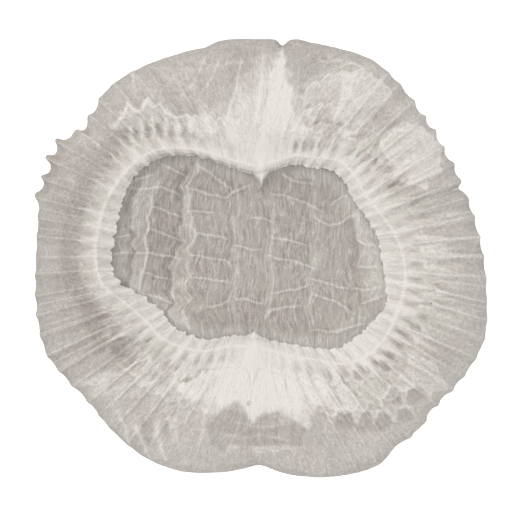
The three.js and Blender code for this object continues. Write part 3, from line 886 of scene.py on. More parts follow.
def base_look(x: Array, y: Array) -> tuple[Array, Array, Array]:
    """The crown's base, seen through the opening: zigzag strips where pleats have opened, light creases
    that start at their corners, fine lines that follow the zigzags, and grain.

    Args:
        x: points' first coordinate, in millimetres about the opening's middle.
        y: points' second coordinate.

    Returns:
        Tone from 0 to 1, height in millimetres, and x with the zigzags taken out, for the fibres to follow.
    """
    # darker towards the left: painted shade of the left rim over the base
    tone = 0.22 + 0.11 * smooth(-70.0, 50.0, x) + 0.05 * lattice(x, y, 20.0, 41)
    lift = 0.25 * lattice(x, y, 14.0, 42)
    wave = 0.6 * lattice(y, x * 0.3, 3.0, 43) + 0.3 * lattice(x, y, 1.6, 48)
    drift, held = np.zeros(x.shape), np.full(x.shape, 0.2)
    for fold in PLEAT_FOLDS:
        left, right, ends = fold.borders(y)
        past_left, past_right = x + wave - left, right - x - wave
        strip = smooth(-0.6, 0.6, past_left) * smooth(-0.6, 0.6, past_right) * ends
        tone += 0.17 * strip + 0.5 * bell(past_right, 0.75) * ends + 0.32 * bell(past_left, 0.65) * ends
        # painted shadow: a dark band beside the left border of each zigzag strip
        tone -= 0.22 * bell(past_left + 2.6, 2.4) * ends
        lift += 0.5 * strip + 0.2 * bell(past_right, 0.9) * ends
        near = bell(x - (left + right) / 2, 13.0)
        drift += near * (left + right - np.mean(left + right)) / 2
        held += near
    along = x - drift / held + 0.8 * lattice(x, y, 9.0, 46)
    patches = 0.35 + 0.65 * smooth(-0.5, 0.5, lattice(x, y, 15.0, 58))
    for cell, reach, seed, strength in ((1.5, 7.0, 45, 0.15), (2.3, 10.0, 50, 0.14), (1.0, 5.0, 57, 0.07)):
        ripple = 1.0 - smooth(0.0, 0.36, np.abs(lattice(along, y * cell / reach, cell, seed)))
        tone += strength * (ripple - 0.38) * patches
        lift += 0.06 * ripple
    # painted light: the base is lightened towards the rim of the opening, against the shade that the ring
    # casts there
    angle = np.degrees(np.arctan2(y, x))
    tone += 0.55 * smooth(0.8, 1.03, np.hypot(x, y) / (section("edge", angle % 360.0) * HALF_WIDTH))
    bend = 0.7 * lattice(x, y, 6.0, 44) + 0.4 * lattice(x, y, 2.5, 49)
    for crease in CREASES:
        away, share = line_distance(x, y + bend, from_photo(crease))
        ends = np.clip(np.minimum(share * 1.4, 1 - share) * 5 + 0.2, 0, 1)
        # each crease is a light line, with a faint painted shade beside it
        tone += 0.42 * bell(away, 0.6) * ends - 0.07 * bell(away - 1.7, 0.9) * ends
        lift += 0.4 * bell(away, 0.9) * ends
    for size, seed, strength in ((8.0, 47, 0.09), (4.5, 54, 0.10), (2.8, 55, 0.08)):
        line = 1.0 - smooth(0.02, 0.16, np.abs(lattice(x + wave, y * 0.8 + bend, size, seed)))
        tone += strength * line * smooth(-0.2, 0.5, lattice(x, y, 12.0, seed + 9))
        lift += 0.1 * line
    return np.clip(tone, -0.2, 1.0), np.maximum(lift, -0.3), along


@dataclass(frozen=True)
class BandSector:
    """How the gathered band looks about one angle: tone, slits between gathers, and the size of the
    folded edge's lobes and of the raw edge's teeth. inset is how many millimetres further in than in
    the part's source the raw edge lies, and pull how many further out the folded edge."""

    at: float
    tone: float
    slits: float
    lobe: float
    teeth: float
    inset: float = 0.0
    pull: float = 0.0


BAND_SECTORS = (
    BandSector(0, 0.79, 0.2, 1.2, 0.8), BandSector(20, 0.82, 0.15, 0.7, 0.6),
    BandSector(40, 0.86, 0.2, 0.6, 0.6), BandSector(60, 0.84, 0.2, 0.5, 0.5, 0.0, 0.6),
    BandSector(80, 0.87, 0.1, 0.4, 0.4, 0.0, 1.2), BandSector(100, 0.87, 0.1, 0.4, 0.4, 0.0, 1.4),
    BandSector(120, 0.82, 0.15, 0.5, 0.7, 2.0, 2.2), BandSector(140, 0.78, 0.2, 0.5, 1.1, 5.0, 0.6),
    BandSector(160, 0.74, 0.2, 0.9, 1.2, 7.0, -0.8), BandSector(180, 0.72, 0.15, 1.0, 1.1, 7.0),
    BandSector(200, 0.76, 0.25, 1.3, 1.0, 5.0), BandSector(220, 0.78, 0.35, 1.1, 0.8, 1.0, 0.8),
    BandSector(240, 0.84, 0.35, 0.8, 0.6, 0.0, 2.4), BandSector(260, 0.92, 0.1, 0.4, 0.4, 0.0, 0.7),
    BandSector(280, 0.92, 0.1, 0.4, 0.4, 0.0, 0.5), BandSector(300, 0.88, 0.35, 0.7, 0.6, 0.0, 0.8),
    BandSector(320, 0.86, 0.4, 0.9, 0.7), BandSector(340, 0.81, 0.4, 1.0, 0.8),
)


def band(key: str, angle: Array) -> Array:
    """One field of BAND_SECTORS at any angle."""
    return field_at(BAND_SECTORS, key, angle)


def hem_look(angle: Array, travel: Array, points: Array) -> tuple[Array, Array]:
    """Tone and fine height of the hem: bright pleats with dark slits between them, a tight bright line
    over the elastic, and rounded lobes inside it.

    Args:
        angle: columns' angles at the side fold in degrees, as a grid.
        travel: travel along the cloth, as a grid.
        points: the smooth surface, whose plan places the dark cells.

    Returns:
        Tone from 0 to 1 and fine height in millimetres.
    """
    number, place = GATHER.phase(angle)
    count = angle / GATHER_ANGLE
    turned = smooth(TRAVEL_INNER - 0.5, TRAVEL_END, travel)
    slit = smooth(0.24, 0.42, np.abs(place)) * GATHER.own(number, 0.4, 1.9, 6)
    slit = 1.3 * slit * bell(travel - TRAVEL_SLITS, 3.8)
    # painted shade in the pinches between the lobes inside the elastic
    between = smooth(0.36, 0.5, np.abs(place)) * smooth(TRAVEL_INNER + 0.5, TRAVEL_INNER + 4.0, travel)
    slit = slit + 0.35 * between
    pleat = lattice(count * 3.4, travel / 16.0, 1.0, 51) + 0.7 * lattice(count * 7.0, travel / 10.0, 1.0, 52)
    crest = bell(place - GATHER.own(number, -0.1, 0.1, 12), 0.2) * GATHER.own(number, 0.4, 1.1, 13)
    pleat = pleat + 1.5 * (crest - 0.35) * (1.0 - 0.6 * bell(travel - TRAVEL_THREAD, 2.0))
    thread = bell(travel - TRAVEL_THREAD, 1.3)
    free = quiet(angle)
    # the pleats' brightness is partly their plies and partly painted shading of their relief; slit holds the
    # dark slits between the pleats and the painted shade in the lobes' pinches
    tone = band("tone", angle) + (0.13 * pleat - band("slits", angle) * slit) * free + 0.22 * thread
    # painted shade: a faint dark line along the groove outside the elastic
    tone = tone - 0.03 * bell(travel - TRAVEL_GROOVE_SHADE, 1.4)
    # painted light on the turned edge: a highlight along the folded edge, lobes lighter in their middles than
    # at their sides, and the turned lobes lightened where they face inward and down
    tone = tone + 0.12 * bell(travel - TRAVEL_END, 1.1)
    rounded = np.sqrt(np.clip(1.0 - (2 * place) ** 2, 0, 1))
    tone = tone + 0.06 * (rounded - 0.7) * turned + 0.1 * turned
    fine = (0.25 * pleat * (1 - thread) - 0.3 * slit) * free * free
    fine = fine + 0.3 * (rounded - 0.6) * turned * band("lobe", angle)
    for cell in PLEAT_CELLS:
        cell.apply(points[..., 0], points[..., 1], tone, fine)
    pucker = np.cos(2 * np.pi * count * 3.0) * bell(travel - TRAVEL_THREAD, 3.0)
    return np.clip(tone, 0, 1), fine + 0.12 * pucker


def stitched(fine: Array, coarse: Array, forward: bool) -> list[list[int]]:
    """Faces of a narrow wall between a fine edge and a coarse one that run side by side.

    Args:
        fine: vertex numbers along the fine edge.
        coarse: vertex numbers along the coarse edge, every step-th as many.
        forward: whether the faces follow the fine edge forward.

    Returns:
        One face for each stretch of the coarse edge.
    """
    step = (len(fine) - 1) // (len(coarse) - 1)
    faces = []
    for k in range(len(coarse) - 1):
        part = [int(i) for i in fine[k * step:(k + 1) * step + 1]]
        ends = [int(coarse[k + 1]), int(coarse[k])]
        faces.append(part + ends if forward else (part + ends)[::-1])
    return faces


def cloth_mesh(name: str, outer: Array, inner: Array, tones: tuple[Array, Array],
               lay: tuple[Array, Array]) -> bpy.types.Object:
    """A closed thin piece of cloth between a fine outer grid and a coarse inner one.

    Args:
        name: the object's name.
        outer: outer face, shape (rows, columns, 3), in millimetres about the opening's middle.
        inner: inner face, at every few rows and columns of the outer one.
        tones: ply tone of the outer and of the inner face.
        lay: UV coordinates of the outer and of the inner face, in metres along the cloth.

    Returns:
        The object, in the row frame, in metres.
    """
    rows, columns = outer.shape[:2]
    over = np.arange(rows * columns).reshape(rows, columns)
    under = np.arange(inner.shape[0] * inner.shape[1]).reshape(inner.shape[:2]) + over.size
    quads = np.stack([over[:-1, :-1], over[:-1, 1:], over[1:, 1:], over[1:, :-1]], axis=-1).reshape(-1, 4)
    backs = np.stack([under[:-1, :-1], under[1:, :-1], under[1:, 1:], under[:-1, 1:]], axis=-1).reshape(-1, 4)
    walls = stitched(over[0], under[0], False) + stitched(over[-1], under[-1], True)
    walls += stitched(over[:, 0], under[:, 0], True) + stitched(over[:, -1], under[:, -1], False)
    shift = FORM.middle()
    points = np.concatenate([outer.reshape(-1, 3), inner.reshape(-1, 3)])
    points = (points - np.array([shift[0], shift[1], 0.0])) * MM
    mesh = bpy.data.meshes.new(name)
    mesh.from_pydata(points.tolist(), [], quads.tolist() + backs.tolist() + walls)
    mesh.polygons.foreach_set("use_smooth", np.ones(len(mesh.polygons), bool))
    tone = np.concatenate([np.ravel(t) for t in tones]).astype(np.float32)
    mesh.attributes.new("ply_tone", "FLOAT", "POINT").data.foreach_set("value", tone)
    corner = np.empty(len(mesh.loops), int)
    mesh.loops.foreach_get("vertex_index", corner)
    flat = np.concatenate([lay[0].reshape(-1, 2), lay[1].reshape(-1, 2)])[corner]
    mesh.uv_layers.new(name="cloth").data.foreach_set("uv", flat.astype(np.float32).ravel())
    mesh.update()
    thing = bpy.data.objects.new(name, mesh)
    bpy.context.scene.collection.objects.link(thing)
    return thing


def linear(colour: tuple[int, int, int], level: float) -> tuple[float, float, float, float]:
    """A colour in sRGB bytes as a linear one, divided by the light level it is seen at.

    Args:
        colour: red, green and blue.
        level: the light level.

    Returns:
        Red, green and blue, with an alpha of one.
    """
    share = [c / 255 for c in colour]
    lit = [(c / 12.92 if c <= 0.04045 else ((c + 0.055) / 1.055) ** 2.4) / level for c in share]
    return (*lit, 1.0)


LIGHT_LEVEL = 1.03  # radiance of a level white surface in this studio
FIBRE_SCALE = 1300.0
RIPPLE_STRETCH = (0.8, 0.4, 0.4)
RIPPLE_SHARPNESS = 16.0
RIPPLE_MEAN = 0.4
BLOTCH_SCALE = 45.0
BLOTCH_TINTS = ((0.36, (1.008, 0.99, 0.99, 1.0)), (0.64, (0.988, 1.004, 0.988, 1.0)))
# Colours in sRGB bytes from a single ply to many, and where on the ramp tone 0 lies
PLY_COLOURS = (
    (0.0, (144, 136, 131)), (0.2, (163, 155, 150)), (0.4, (181, 174, 169)),
    (0.6, (196, 191, 185)), (0.8, (213, 209, 203)), (1.0, (229, 225, 220)),
)
DARKEST_TONE = 0.2


def socket(group: bpy.types.NodeTree, name: str, kind: str, way: str, value: float | None = None) -> None:
    """Adds one socket to a node group's interface.

    Args:
        group: the node group.
        name: the socket's name.
        kind: its type.
        way: INPUT or OUTPUT.
        value: what it holds when nothing feeds it.
    """
    made = group.interface.new_socket(name, in_out=way, socket_type=kind)
    if value is not None:
        made.default_value = value


def add_node(tree: bpy.types.NodeTree, kind: str, inputs: dict[str | int, object],
             **settings: object) -> bpy.types.Node:
    """Adds a shader node.

    Args:
        tree: where it goes.
        kind: its type without the prefix that all shader nodes share.
        inputs: a number, vector or colour for each named input, or the socket that feeds it.
        settings: the node's properties.

    Returns:
        The node.
    """
    node = tree.nodes.new(f"ShaderNode{kind}")
    for name, value in settings.items():
        setattr(node, name, value)
    for name, value in inputs.items():
        if isinstance(value, bpy.types.NodeSocket):
            tree.links.new(value, node.inputs[name])
        else:
            node.inputs[name].default_value = value
    return node


def reckon(tree: bpy.types.NodeTree, operation: str, *values: float | bpy.types.NodeSocket,
           clamp: bool = False) -> bpy.types.NodeSocket:
    """What one maths node makes of numbers and sockets."""
    node = add_node(tree, "Math", dict(enumerate(values)), operation=operation, use_clamp=clamp)
    return node.outputs["Value"]


def colour_ramp(tree: bpy.types.NodeTree, value: bpy.types.NodeSocket,
                stops: tuple[tuple[float, tuple[float, float, float, float]], ...]) -> bpy.types.NodeSocket:
    """The colour that a value picks from a ramp, given as places and linear colours.

    Args:
        tree: where the ramp goes.
        value: the socket that feeds it.
        stops: place and linear colour of each stop, in order.

    Returns:
        The colour's socket.
    """
    ramp = add_node(tree, "ValToRGB", {"Fac": value})
    elements = ramp.color_ramp.elements
    for _ in range(len(stops) - 2):
        elements.new(0.5)
    for element, (place, colour) in zip(elements, stops):
        element.position = place
        element.color = colour
    return ramp.outputs["Color"]


def fibre_group() -> bpy.types.NodeTree:
    """Node group for the web of fibres: two stretched noises that cross, as a value about zero, thin
    rippled lines along the second coordinate, and pinkish and greenish blotches that change slowly.

    Returns:
        The group, which puts out Web, Ripple and Blotch.
    """
    group = bpy.data.node_groups.new("fibre_web", "ShaderNodeTree")
    socket(group, "Vector", "NodeSocketVector", "INPUT")
    socket(group, "Across", "NodeSocketFloat", "INPUT", 700.0)
    socket(group, "Along", "NodeSocketFloat", "INPUT", 160.0)
    for name in ("Web", "Ripple", "Blotch"):
        socket(group, name, "NodeSocketFloat", "OUTPUT")
    enter, leave = group.nodes.new("NodeGroupInput"), group.nodes.new("NodeGroupOutput")
    vector, across, along = (enter.outputs[name] for name in ("Vector", "Across", "Along"))
    scale = add_node(group, "CombineXYZ", {"X": across, "Y": along, "Z": along})
    stretched = add_node(group, "VectorMath", {0: vector, 1: scale.outputs["Vector"]}, operation="MULTIPLY")
    stretched = stretched.outputs["Vector"]
    inputs = {"Vector": stretched, "Scale": 1.0, "Detail": 3.0, "Distortion": 0.6}
    long_web = add_node(group, "TexNoise", inputs)
    short_web = add_node(group, "TexNoise", {"Vector": vector, "Scale": FIBRE_SCALE, "Detail": 2.0})
    web = reckon(group, "ADD", long_web.outputs["Fac"], short_web.outputs["Fac"])
    group.links.new(reckon(group, "SUBTRACT", web, 1.0), leave.inputs["Web"])
    longer = add_node(group, "VectorMath", {0: stretched, 1: RIPPLE_STRETCH}, operation="MULTIPLY")
    longer = longer.outputs["Vector"]
    lines = add_node(group, "TexNoise", {"Vector": longer, "Scale": 1.0, "Detail": 1.0, "Distortion": 0.7})
    away = reckon(group, "ABSOLUTE", reckon(group, "SUBTRACT", lines.outputs["Fac"], 0.5))
    ridge = reckon(group, "MULTIPLY_ADD", away, -RIPPLE_SHARPNESS, 1.0, clamp=True)
    group.links.new(reckon(group, "SUBTRACT", ridge, RIPPLE_MEAN), leave.inputs["Ripple"])
    blotch = add_node(group, "TexNoise", {"Vector": vector, "Scale": BLOTCH_SCALE, "Detail": 1.0})
    group.links.new(blotch.outputs["Fac"], leave.inputs["Blotch"])
    return group


def ply_group() -> bpy.types.NodeTree:
    """Node group for the cloth's colour: the ply tone with the web and the ripples added, read on a ramp,
    and tinted by the blotches.

    Returns:
        The group, which puts out Color.
    """
    group = bpy.data.node_groups.new("ply_colour", "ShaderNodeTree")
    names = ("Tone", "Web", "Web Strength", "Ripple", "Ripple Strength", "Blotch")
    for name, value in zip(names, (0.5, 0.0, 0.2, 0.0, 0.1, 0.5)):
        socket(group, name, "NodeSocketFloat", "INPUT", value)
    socket(group, "Color", "NodeSocketColor", "OUTPUT")
    enter, leave = group.nodes.new("NodeGroupInput"), group.nodes.new("NodeGroupOutput")
    tone, web, web_strength, ripple, ripple_strength, blotch = (enter.outputs[name] for name in names)
    tone = reckon(group, "MULTIPLY_ADD", web, web_strength, tone)
    tone = reckon(group, "MULTIPLY_ADD", ripple, ripple_strength, tone)
    spread = reckon(group, "MULTIPLY_ADD", tone, 1.0 - DARKEST_TONE, DARKEST_TONE)
    stops = tuple((place, linear(colour, LIGHT_LEVEL)) for place, colour in PLY_COLOURS)
    plies = colour_ramp(group, spread, stops)
    tint = colour_ramp(group, blotch, BLOTCH_TINTS)
    inputs = {"Factor": 1.0, "A": plies, "B": tint}
    mixed = add_node(group, "Mix", inputs, data_type="RGBA", blend_type="MULTIPLY")
    group.links.new(mixed.outputs["Result"], leave.inputs["Color"])
    return group


@dataclass(frozen=True)
class ClothFinish:
    """Thin non-woven cloth: matt, with a web of fibres in colour and relief. across and along are the
    web's scales, web and ripple their strengths in tone, and relief the web's height in metres."""

    name: str
    across: float = 650.0
    along: float = 150.0
    web: float = 0.8
    ripple: float = 0.12
    relief: float = 0.00012

    def material(self, fibres: bpy.types.NodeTree, plies: bpy.types.NodeTree) -> bpy.types.Material:
        """Builds the material.

        Args:
            fibres: the node group of the web.
            plies: the node group of the colour.

        Returns:
            The material.
        """
        made = bpy.data.materials.new(self.name)
        made.use_nodes = True
        tree = made.node_tree
        shader = tree.nodes["Principled BSDF"]
        shader.inputs["Roughness"].default_value = 0.9
        shader.inputs["Specular IOR Level"].default_value = 0.15
        uv = add_node(tree, "UVMap", {}, uv_map="cloth")
        inputs = {"Vector": uv.outputs["UV"], "Across": self.across, "Along": self.along}
        web = add_node(tree, "Group", inputs, node_tree=fibres)
        tone = add_node(tree, "Attribute", {}, attribute_name="ply_tone")
        inputs = {name: web.outputs[name] for name in ("Web", "Ripple", "Blotch")}
        inputs |= {"Tone": tone.outputs["Fac"], "Web Strength": self.web, "Ripple Strength": self.ripple}
        colour = add_node(tree, "Group", inputs, node_tree=plies)
        tree.links.new(colour.outputs["Color"], shader.inputs["Base Color"])
        inputs = {"Strength": 0.6, "Distance": self.relief, "Height": web.outputs["Web"]}
        bump = add_node(tree, "Bump", inputs)
        tree.links.new(bump.outputs["Normal"], shader.inputs["Normal"])
        return made


@dataclass(frozen=True)
class RubberFinish:
    """Elastic thread: slightly glossy, off-white, with fine grain."""

    name: str = "elastic_rubber"
    colour: tuple[int, int, int] = (228, 224, 218)
    shade: int = 14
    grain: float = 1600.0
    relief: float = 0.0001

    def material(self) -> bpy.types.Material:
        """Builds the material.

        Returns:
            The material.
        """
        made = bpy.data.materials.new(self.name)
        made.use_nodes = True
        tree = made.node_tree
        shader = tree.nodes["Principled BSDF"]
        shader.inputs["Roughness"].default_value = 0.5
        place = add_node(tree, "TexCoord", {})
        grain = add_node(tree, "TexNoise", {"Scale": self.grain, "Vector": place.outputs["Object"]})
        dark = linear(tuple(c - self.shade for c in self.colour), LIGHT_LEVEL)
        stops = ((0.0, dark), (1.0, linear(self.colour, LIGHT_LEVEL)))
        tree.links.new(colour_ramp(tree, grain.outputs["Fac"], stops), shader.inputs["Base Color"])
        bump = add_node(tree, "Bump", {"Distance": self.relief, "Height": grain.outputs["Fac"]})
        tree.links.new(bump.outputs["Normal"], shader.inputs["Normal"])
        return made


@dataclass
class CrownSheet:
    """The pleated sheet: the crown's base on the floor, and the ring that rises from it, folds over
    and runs in to the opening, in two halves that meet on the seals' line."""

    material: bpy.types.Material
    base_material: bpy.types.Material
    wall: float = 0.9  # millimetres between the outer and inner faces of the ring
    base_wall: float = 0.5
    base_rise: float = 0.45  # by which the base's upper face clears its wall
    base_reach: float = 0.83  # base's rim as a share of the outline, under the ring
    base_steps: int = 300
    ring_columns: int = 640
    ring_rows: tuple[int, int, int] = (17, 85, 9)  # under the side fold, in sight, under the hem
    lay_radius: float = 110.0  # where the fibres' scale across is true
    under_tone: float = 0.3
    inner_tone: float = 1.0
    outer_low: float = 0.02  # lowest heights of the ring's two faces over the floor
    inner_low: float = 0.5
    step: int = 4
    made: list[bpy.types.Object] = field(default_factory=list)

    def build_base(self) -> bpy.types.Object:
        """The crown's base: a square grid rounded into a disc, where x is a times the root of
        1 - b²/2 and y is b times the root of 1 - a²/2, then scaled to the outline.

        Returns:
            The base's object.
        """
        side = np.linspace(-1.0, 1.0, self.base_steps + 1)
        a, b = np.meshgrid(side, side)
        u, v = a * np.sqrt(1 - b * b / 2), b * np.sqrt(1 - a * a / 2)
        share = np.hypot(u, v)
        angle = np.degrees(np.arctan2(v, u)) % 360.0
        radius = share * (0.62 + 0.38 * share**4) * self.base_reach * outline_radius(angle)
        radius = np.where(share > 0, radius, 0.0)
        plan = polar(angle, radius)
        x, y = plan[..., 0], plan[..., 1]
        tone, lift, along = base_look(x, y)
        rim = smooth(0.93, 1.0, share)
        top = plan.copy()
        top[..., 2] = self.base_wall + self.base_rise + lift * (1 - rim) + 0.4 * rim
        s = self.step
        bottom = plan[::s, ::s].copy()
        bottom[..., 2] = 0.05 + 0.3 * rim[::s, ::s]
        lay = np.stack([along, y], axis=-1) * MM
        under = np.full(bottom.shape[:2], self.under_tone)
        thing = cloth_mesh("crown_base", top, bottom, (tone, under), (lay, lay[::s, ::s]))
        return self.finish_piece(thing, self.base_material)

    def build_ring(self, name: str, start: float, end: float) -> bpy.types.Object:
        """Half of the ring between two angles, as the smooth sheet raised along its normals.

        Args:
            name: the object's name.
            start: angle of its first column in degrees.
            end: angle of its last column.

        Returns:
            The half's object.
        """
        angle = np.linspace(start, end, self.ring_columns + 1)
        counts = self.ring_rows
        below = np.linspace(0.0, TRAVEL_SIDE, counts[0])[:-1]
        shown = np.linspace(TRAVEL_SIDE, TRAVEL_RAW + 1, counts[1])[:-1]
        hidden = np.linspace(TRAVEL_RAW + 1, TRAVEL_END, counts[2])
        travel = np.concatenate([below, shown, hidden])
        grid_angle, grid_travel = np.meshgrid(angle, travel)
        smooth_sheet = FORM.surface(angle, grid_travel)
        normal = face_normals(smooth_sheet)
        broad = broad_relief(grid_angle, grid_travel)
        tone, fine = ring_look(grid_angle, grid_travel, smooth_sheet)
        fade = smooth(6.0, 26.0, grid_travel) * raised(grid_travel)
        outer = smooth_sheet + normal * (broad + fine * fade)[..., None]
        s = self.step
        inner = (smooth_sheet + normal * (broad - self.wall)[..., None])[::s, ::s]
        inner[..., 2] = np.maximum(inner[..., 2], self.inner_low)
        outer[..., 2] = np.maximum(outer[..., 2], self.outer_low)
        lay = np.stack([np.radians(grid_angle) * self.lay_radius, grid_travel], axis=-1) * MM
        inside_tone = np.full(inner.shape[:2], self.inner_tone)
        thing = cloth_mesh(name, outer, inner, (tone, inside_tone), (lay, lay[::s, ::s]))
        return self.finish_piece(thing, self.material)

    def finish_piece(self, thing: bpy.types.Object, material: bpy.types.Material) -> bpy.types.Object:
        """Gives a piece its material and body, and hides the CAD sheet that it replaces.

        Args:
            thing: the piece.
            material: its cloth.

        Returns:
            The piece.
        """
        thing.data.materials.append(material)
        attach(thing, "root")
        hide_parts("crown_sheet")
        self.made.append(thing)
        return thing

    def build(self) -> list[bpy.types.Object]:
        """Builds the three pieces.

        Returns:
            The pieces, the base first.
        """
        base = self.build_base()
        back, front = SEAL_ANGLES
        left = self.build_ring("crown_ring_left", back, front)
        right = self.build_ring("crown_ring_right", front - 360.0, back)
        return self.made


@dataclass
class Hem:
    """The turned-over hem of one side: from its ragged raw edge over the elastic to the folded edge,
    round which it closes."""

    material: bpy.types.Material
    wall: float = 0.5
    columns: int = 640
    rows: int = 61
    tooth_depth: float = 7.0
    lay_radius: float = 90.0
    step: int = 4

    def build(self, name: str, start: float, end: float, node: str) -> bpy.types.Object:
        """The hem between two angles of the side fold.

        Args:
            name: the object's name.
            start: angle of its first column in degrees.
            end: angle of its last column.
            node: the CAD node that it replaces.

        Returns:
            The hem's object.
        """
        angle = np.linspace(start, end, self.columns + 1)
        number, place = GATHER.phase(angle)
        tooth = np.clip(1.0 - np.abs(place) * 2.2, 0, 1) ** 1.4 * GATHER.own(number, 0.4, 1.2, 7)
        tooth = tooth * band("teeth", angle) * quiet(angle)
        first = TRAVEL_RAW + 2.0 + band("inset", angle) - self.tooth_depth * tooth
        share = np.linspace(0.0, 1.0, self.rows)[:, None]
        travel = first + (TRAVEL_END - first) * share
        grid_angle = np.broadcast_to(angle, travel.shape)
        sheet = FORM.surface(angle, travel)
        normal = face_normals(sheet)
        broad = broad_relief(grid_angle, travel) * seal_free(grid_angle)
        inside_thread = 0.8 * smooth(TRAVEL_THREAD - 0.5, TRAVEL_INNER, travel)
        over_thread = np.maximum(bell(travel - TRAVEL_THREAD, 3.4), inside_thread) * 1.15
        over_thread = over_thread * (ELASTIC_THICKNESS + GAP)
        tone, fine = hem_look(grid_angle, travel, sheet)
        beneath, bumps = ring_look(grid_angle, travel, sheet)
        bumps = bumps * raised(travel)
        into = smooth(0.0, 5.0, travel - first)
        tone, fine = beneath + (tone - beneath) * into, fine * into
        under = sheet + normal * (broad + bumps + 0.12 + (GAP - 0.12) * into + over_thread)[..., None]
        thin = 0.05 + (self.wall + 0.3) * smooth(0.0, 9.0, travel - first)
        outer = under + normal * (thin + np.maximum(fine, -0.25) + 0.05)[..., None]
        inward = -polar(crowded(grid_angle), 1.0)
        lobe = np.sqrt(np.clip(1.0 - (2 * place) ** 2, 0, 1)) - 0.55
        count = angle / GATHER_ANGLE * 2.0 + 0.3 * lattice(angle, angle * 0.0, 6.0, 63)
        small = np.sqrt(np.clip(1.0 - (2 * (count - np.round(count))) ** 2, 0, 1)) - 0.6
        size = GATHER.own(number, 0.3, 1.7, 9) * np.clip(band("lobe", angle) - 0.35, 0.0, 1.0)
        small = small * GATHER.own(np.round(count).astype(int) % GATHERS, 0.2, 1.8, 14)
        push = 2.2 * lobe * size + 0.8 * small + 0.5 * lattice(angle, angle * 0.0, 1.1, 64)
        push = push - band("pull", crowded(angle))
        push = smooth(TRAVEL_INNER, TRAVEL_END, travel) * push
        outer = outer + inward * push[..., None]
        under = under + inward * push[..., None]
        outer, under, tone, travel = self.wrap(outer, under, tone, travel, inward)
        s = self.step
        across = np.broadcast_to(np.radians(angle) * self.lay_radius, travel.shape)
        lay = np.stack([across, travel], axis=-1) * MM
        inner = under[::s, ::s]
        thing = cloth_mesh(name, outer, inner, (tone, tone[::s, ::s]), (lay, lay[::s, ::s]))
        thing.data.materials.append(self.material)
        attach(thing, "root")
        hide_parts(node)
        return thing

    def wrap(self, outer: Array, under: Array, tone: Array, travel: Array,
             inward: Array) -> tuple[Array, Array, Array, Array]:
        """Carries the hem round its folded edge: rows that roll in, down and back under.

        Args:
            outer: outer face's points.
            under: inner face's points, on the same grid.
            tone: ply tone of each point.
            travel: travel of each point.
            inward: unit vectors towards the opening's middle.

        Returns:
            The first four, with the new rows added.
        """
        # for each row: how far in and up it lies, the tone it keeps (less as it rolls under: painted shade),
        # and its travel past the edge
        turns = (
            (0.2, -0.12, 1.0, 0.4), (0.28, -0.4, 0.95, 1.0),
            (0.2, -0.9, 0.85, 1.6), (-0.2, -1.5, 0.7, 2.2),
        )
        last, below = outer[-1], under[-1]
        way = inward[-1]
        up = np.array([0.0, 0.0, 1.0])
        rows = [last + way * a + up * b for a, b, _, _ in turns]
        backs = [below + way * (a - 0.3) + up * (b + 0.3) * 0.8 for a, b, _, _ in turns]
        outer = np.concatenate([outer, np.stack(rows)])
        under = np.concatenate([under, np.stack(backs)])
        tone = np.concatenate([tone, np.stack([tone[-1] * kept for _, _, kept, _ in turns])])
        travel = np.concatenate([travel, np.stack([travel[-1] + past for _, _, _, past in turns])])
        return outer, under, tone, travel


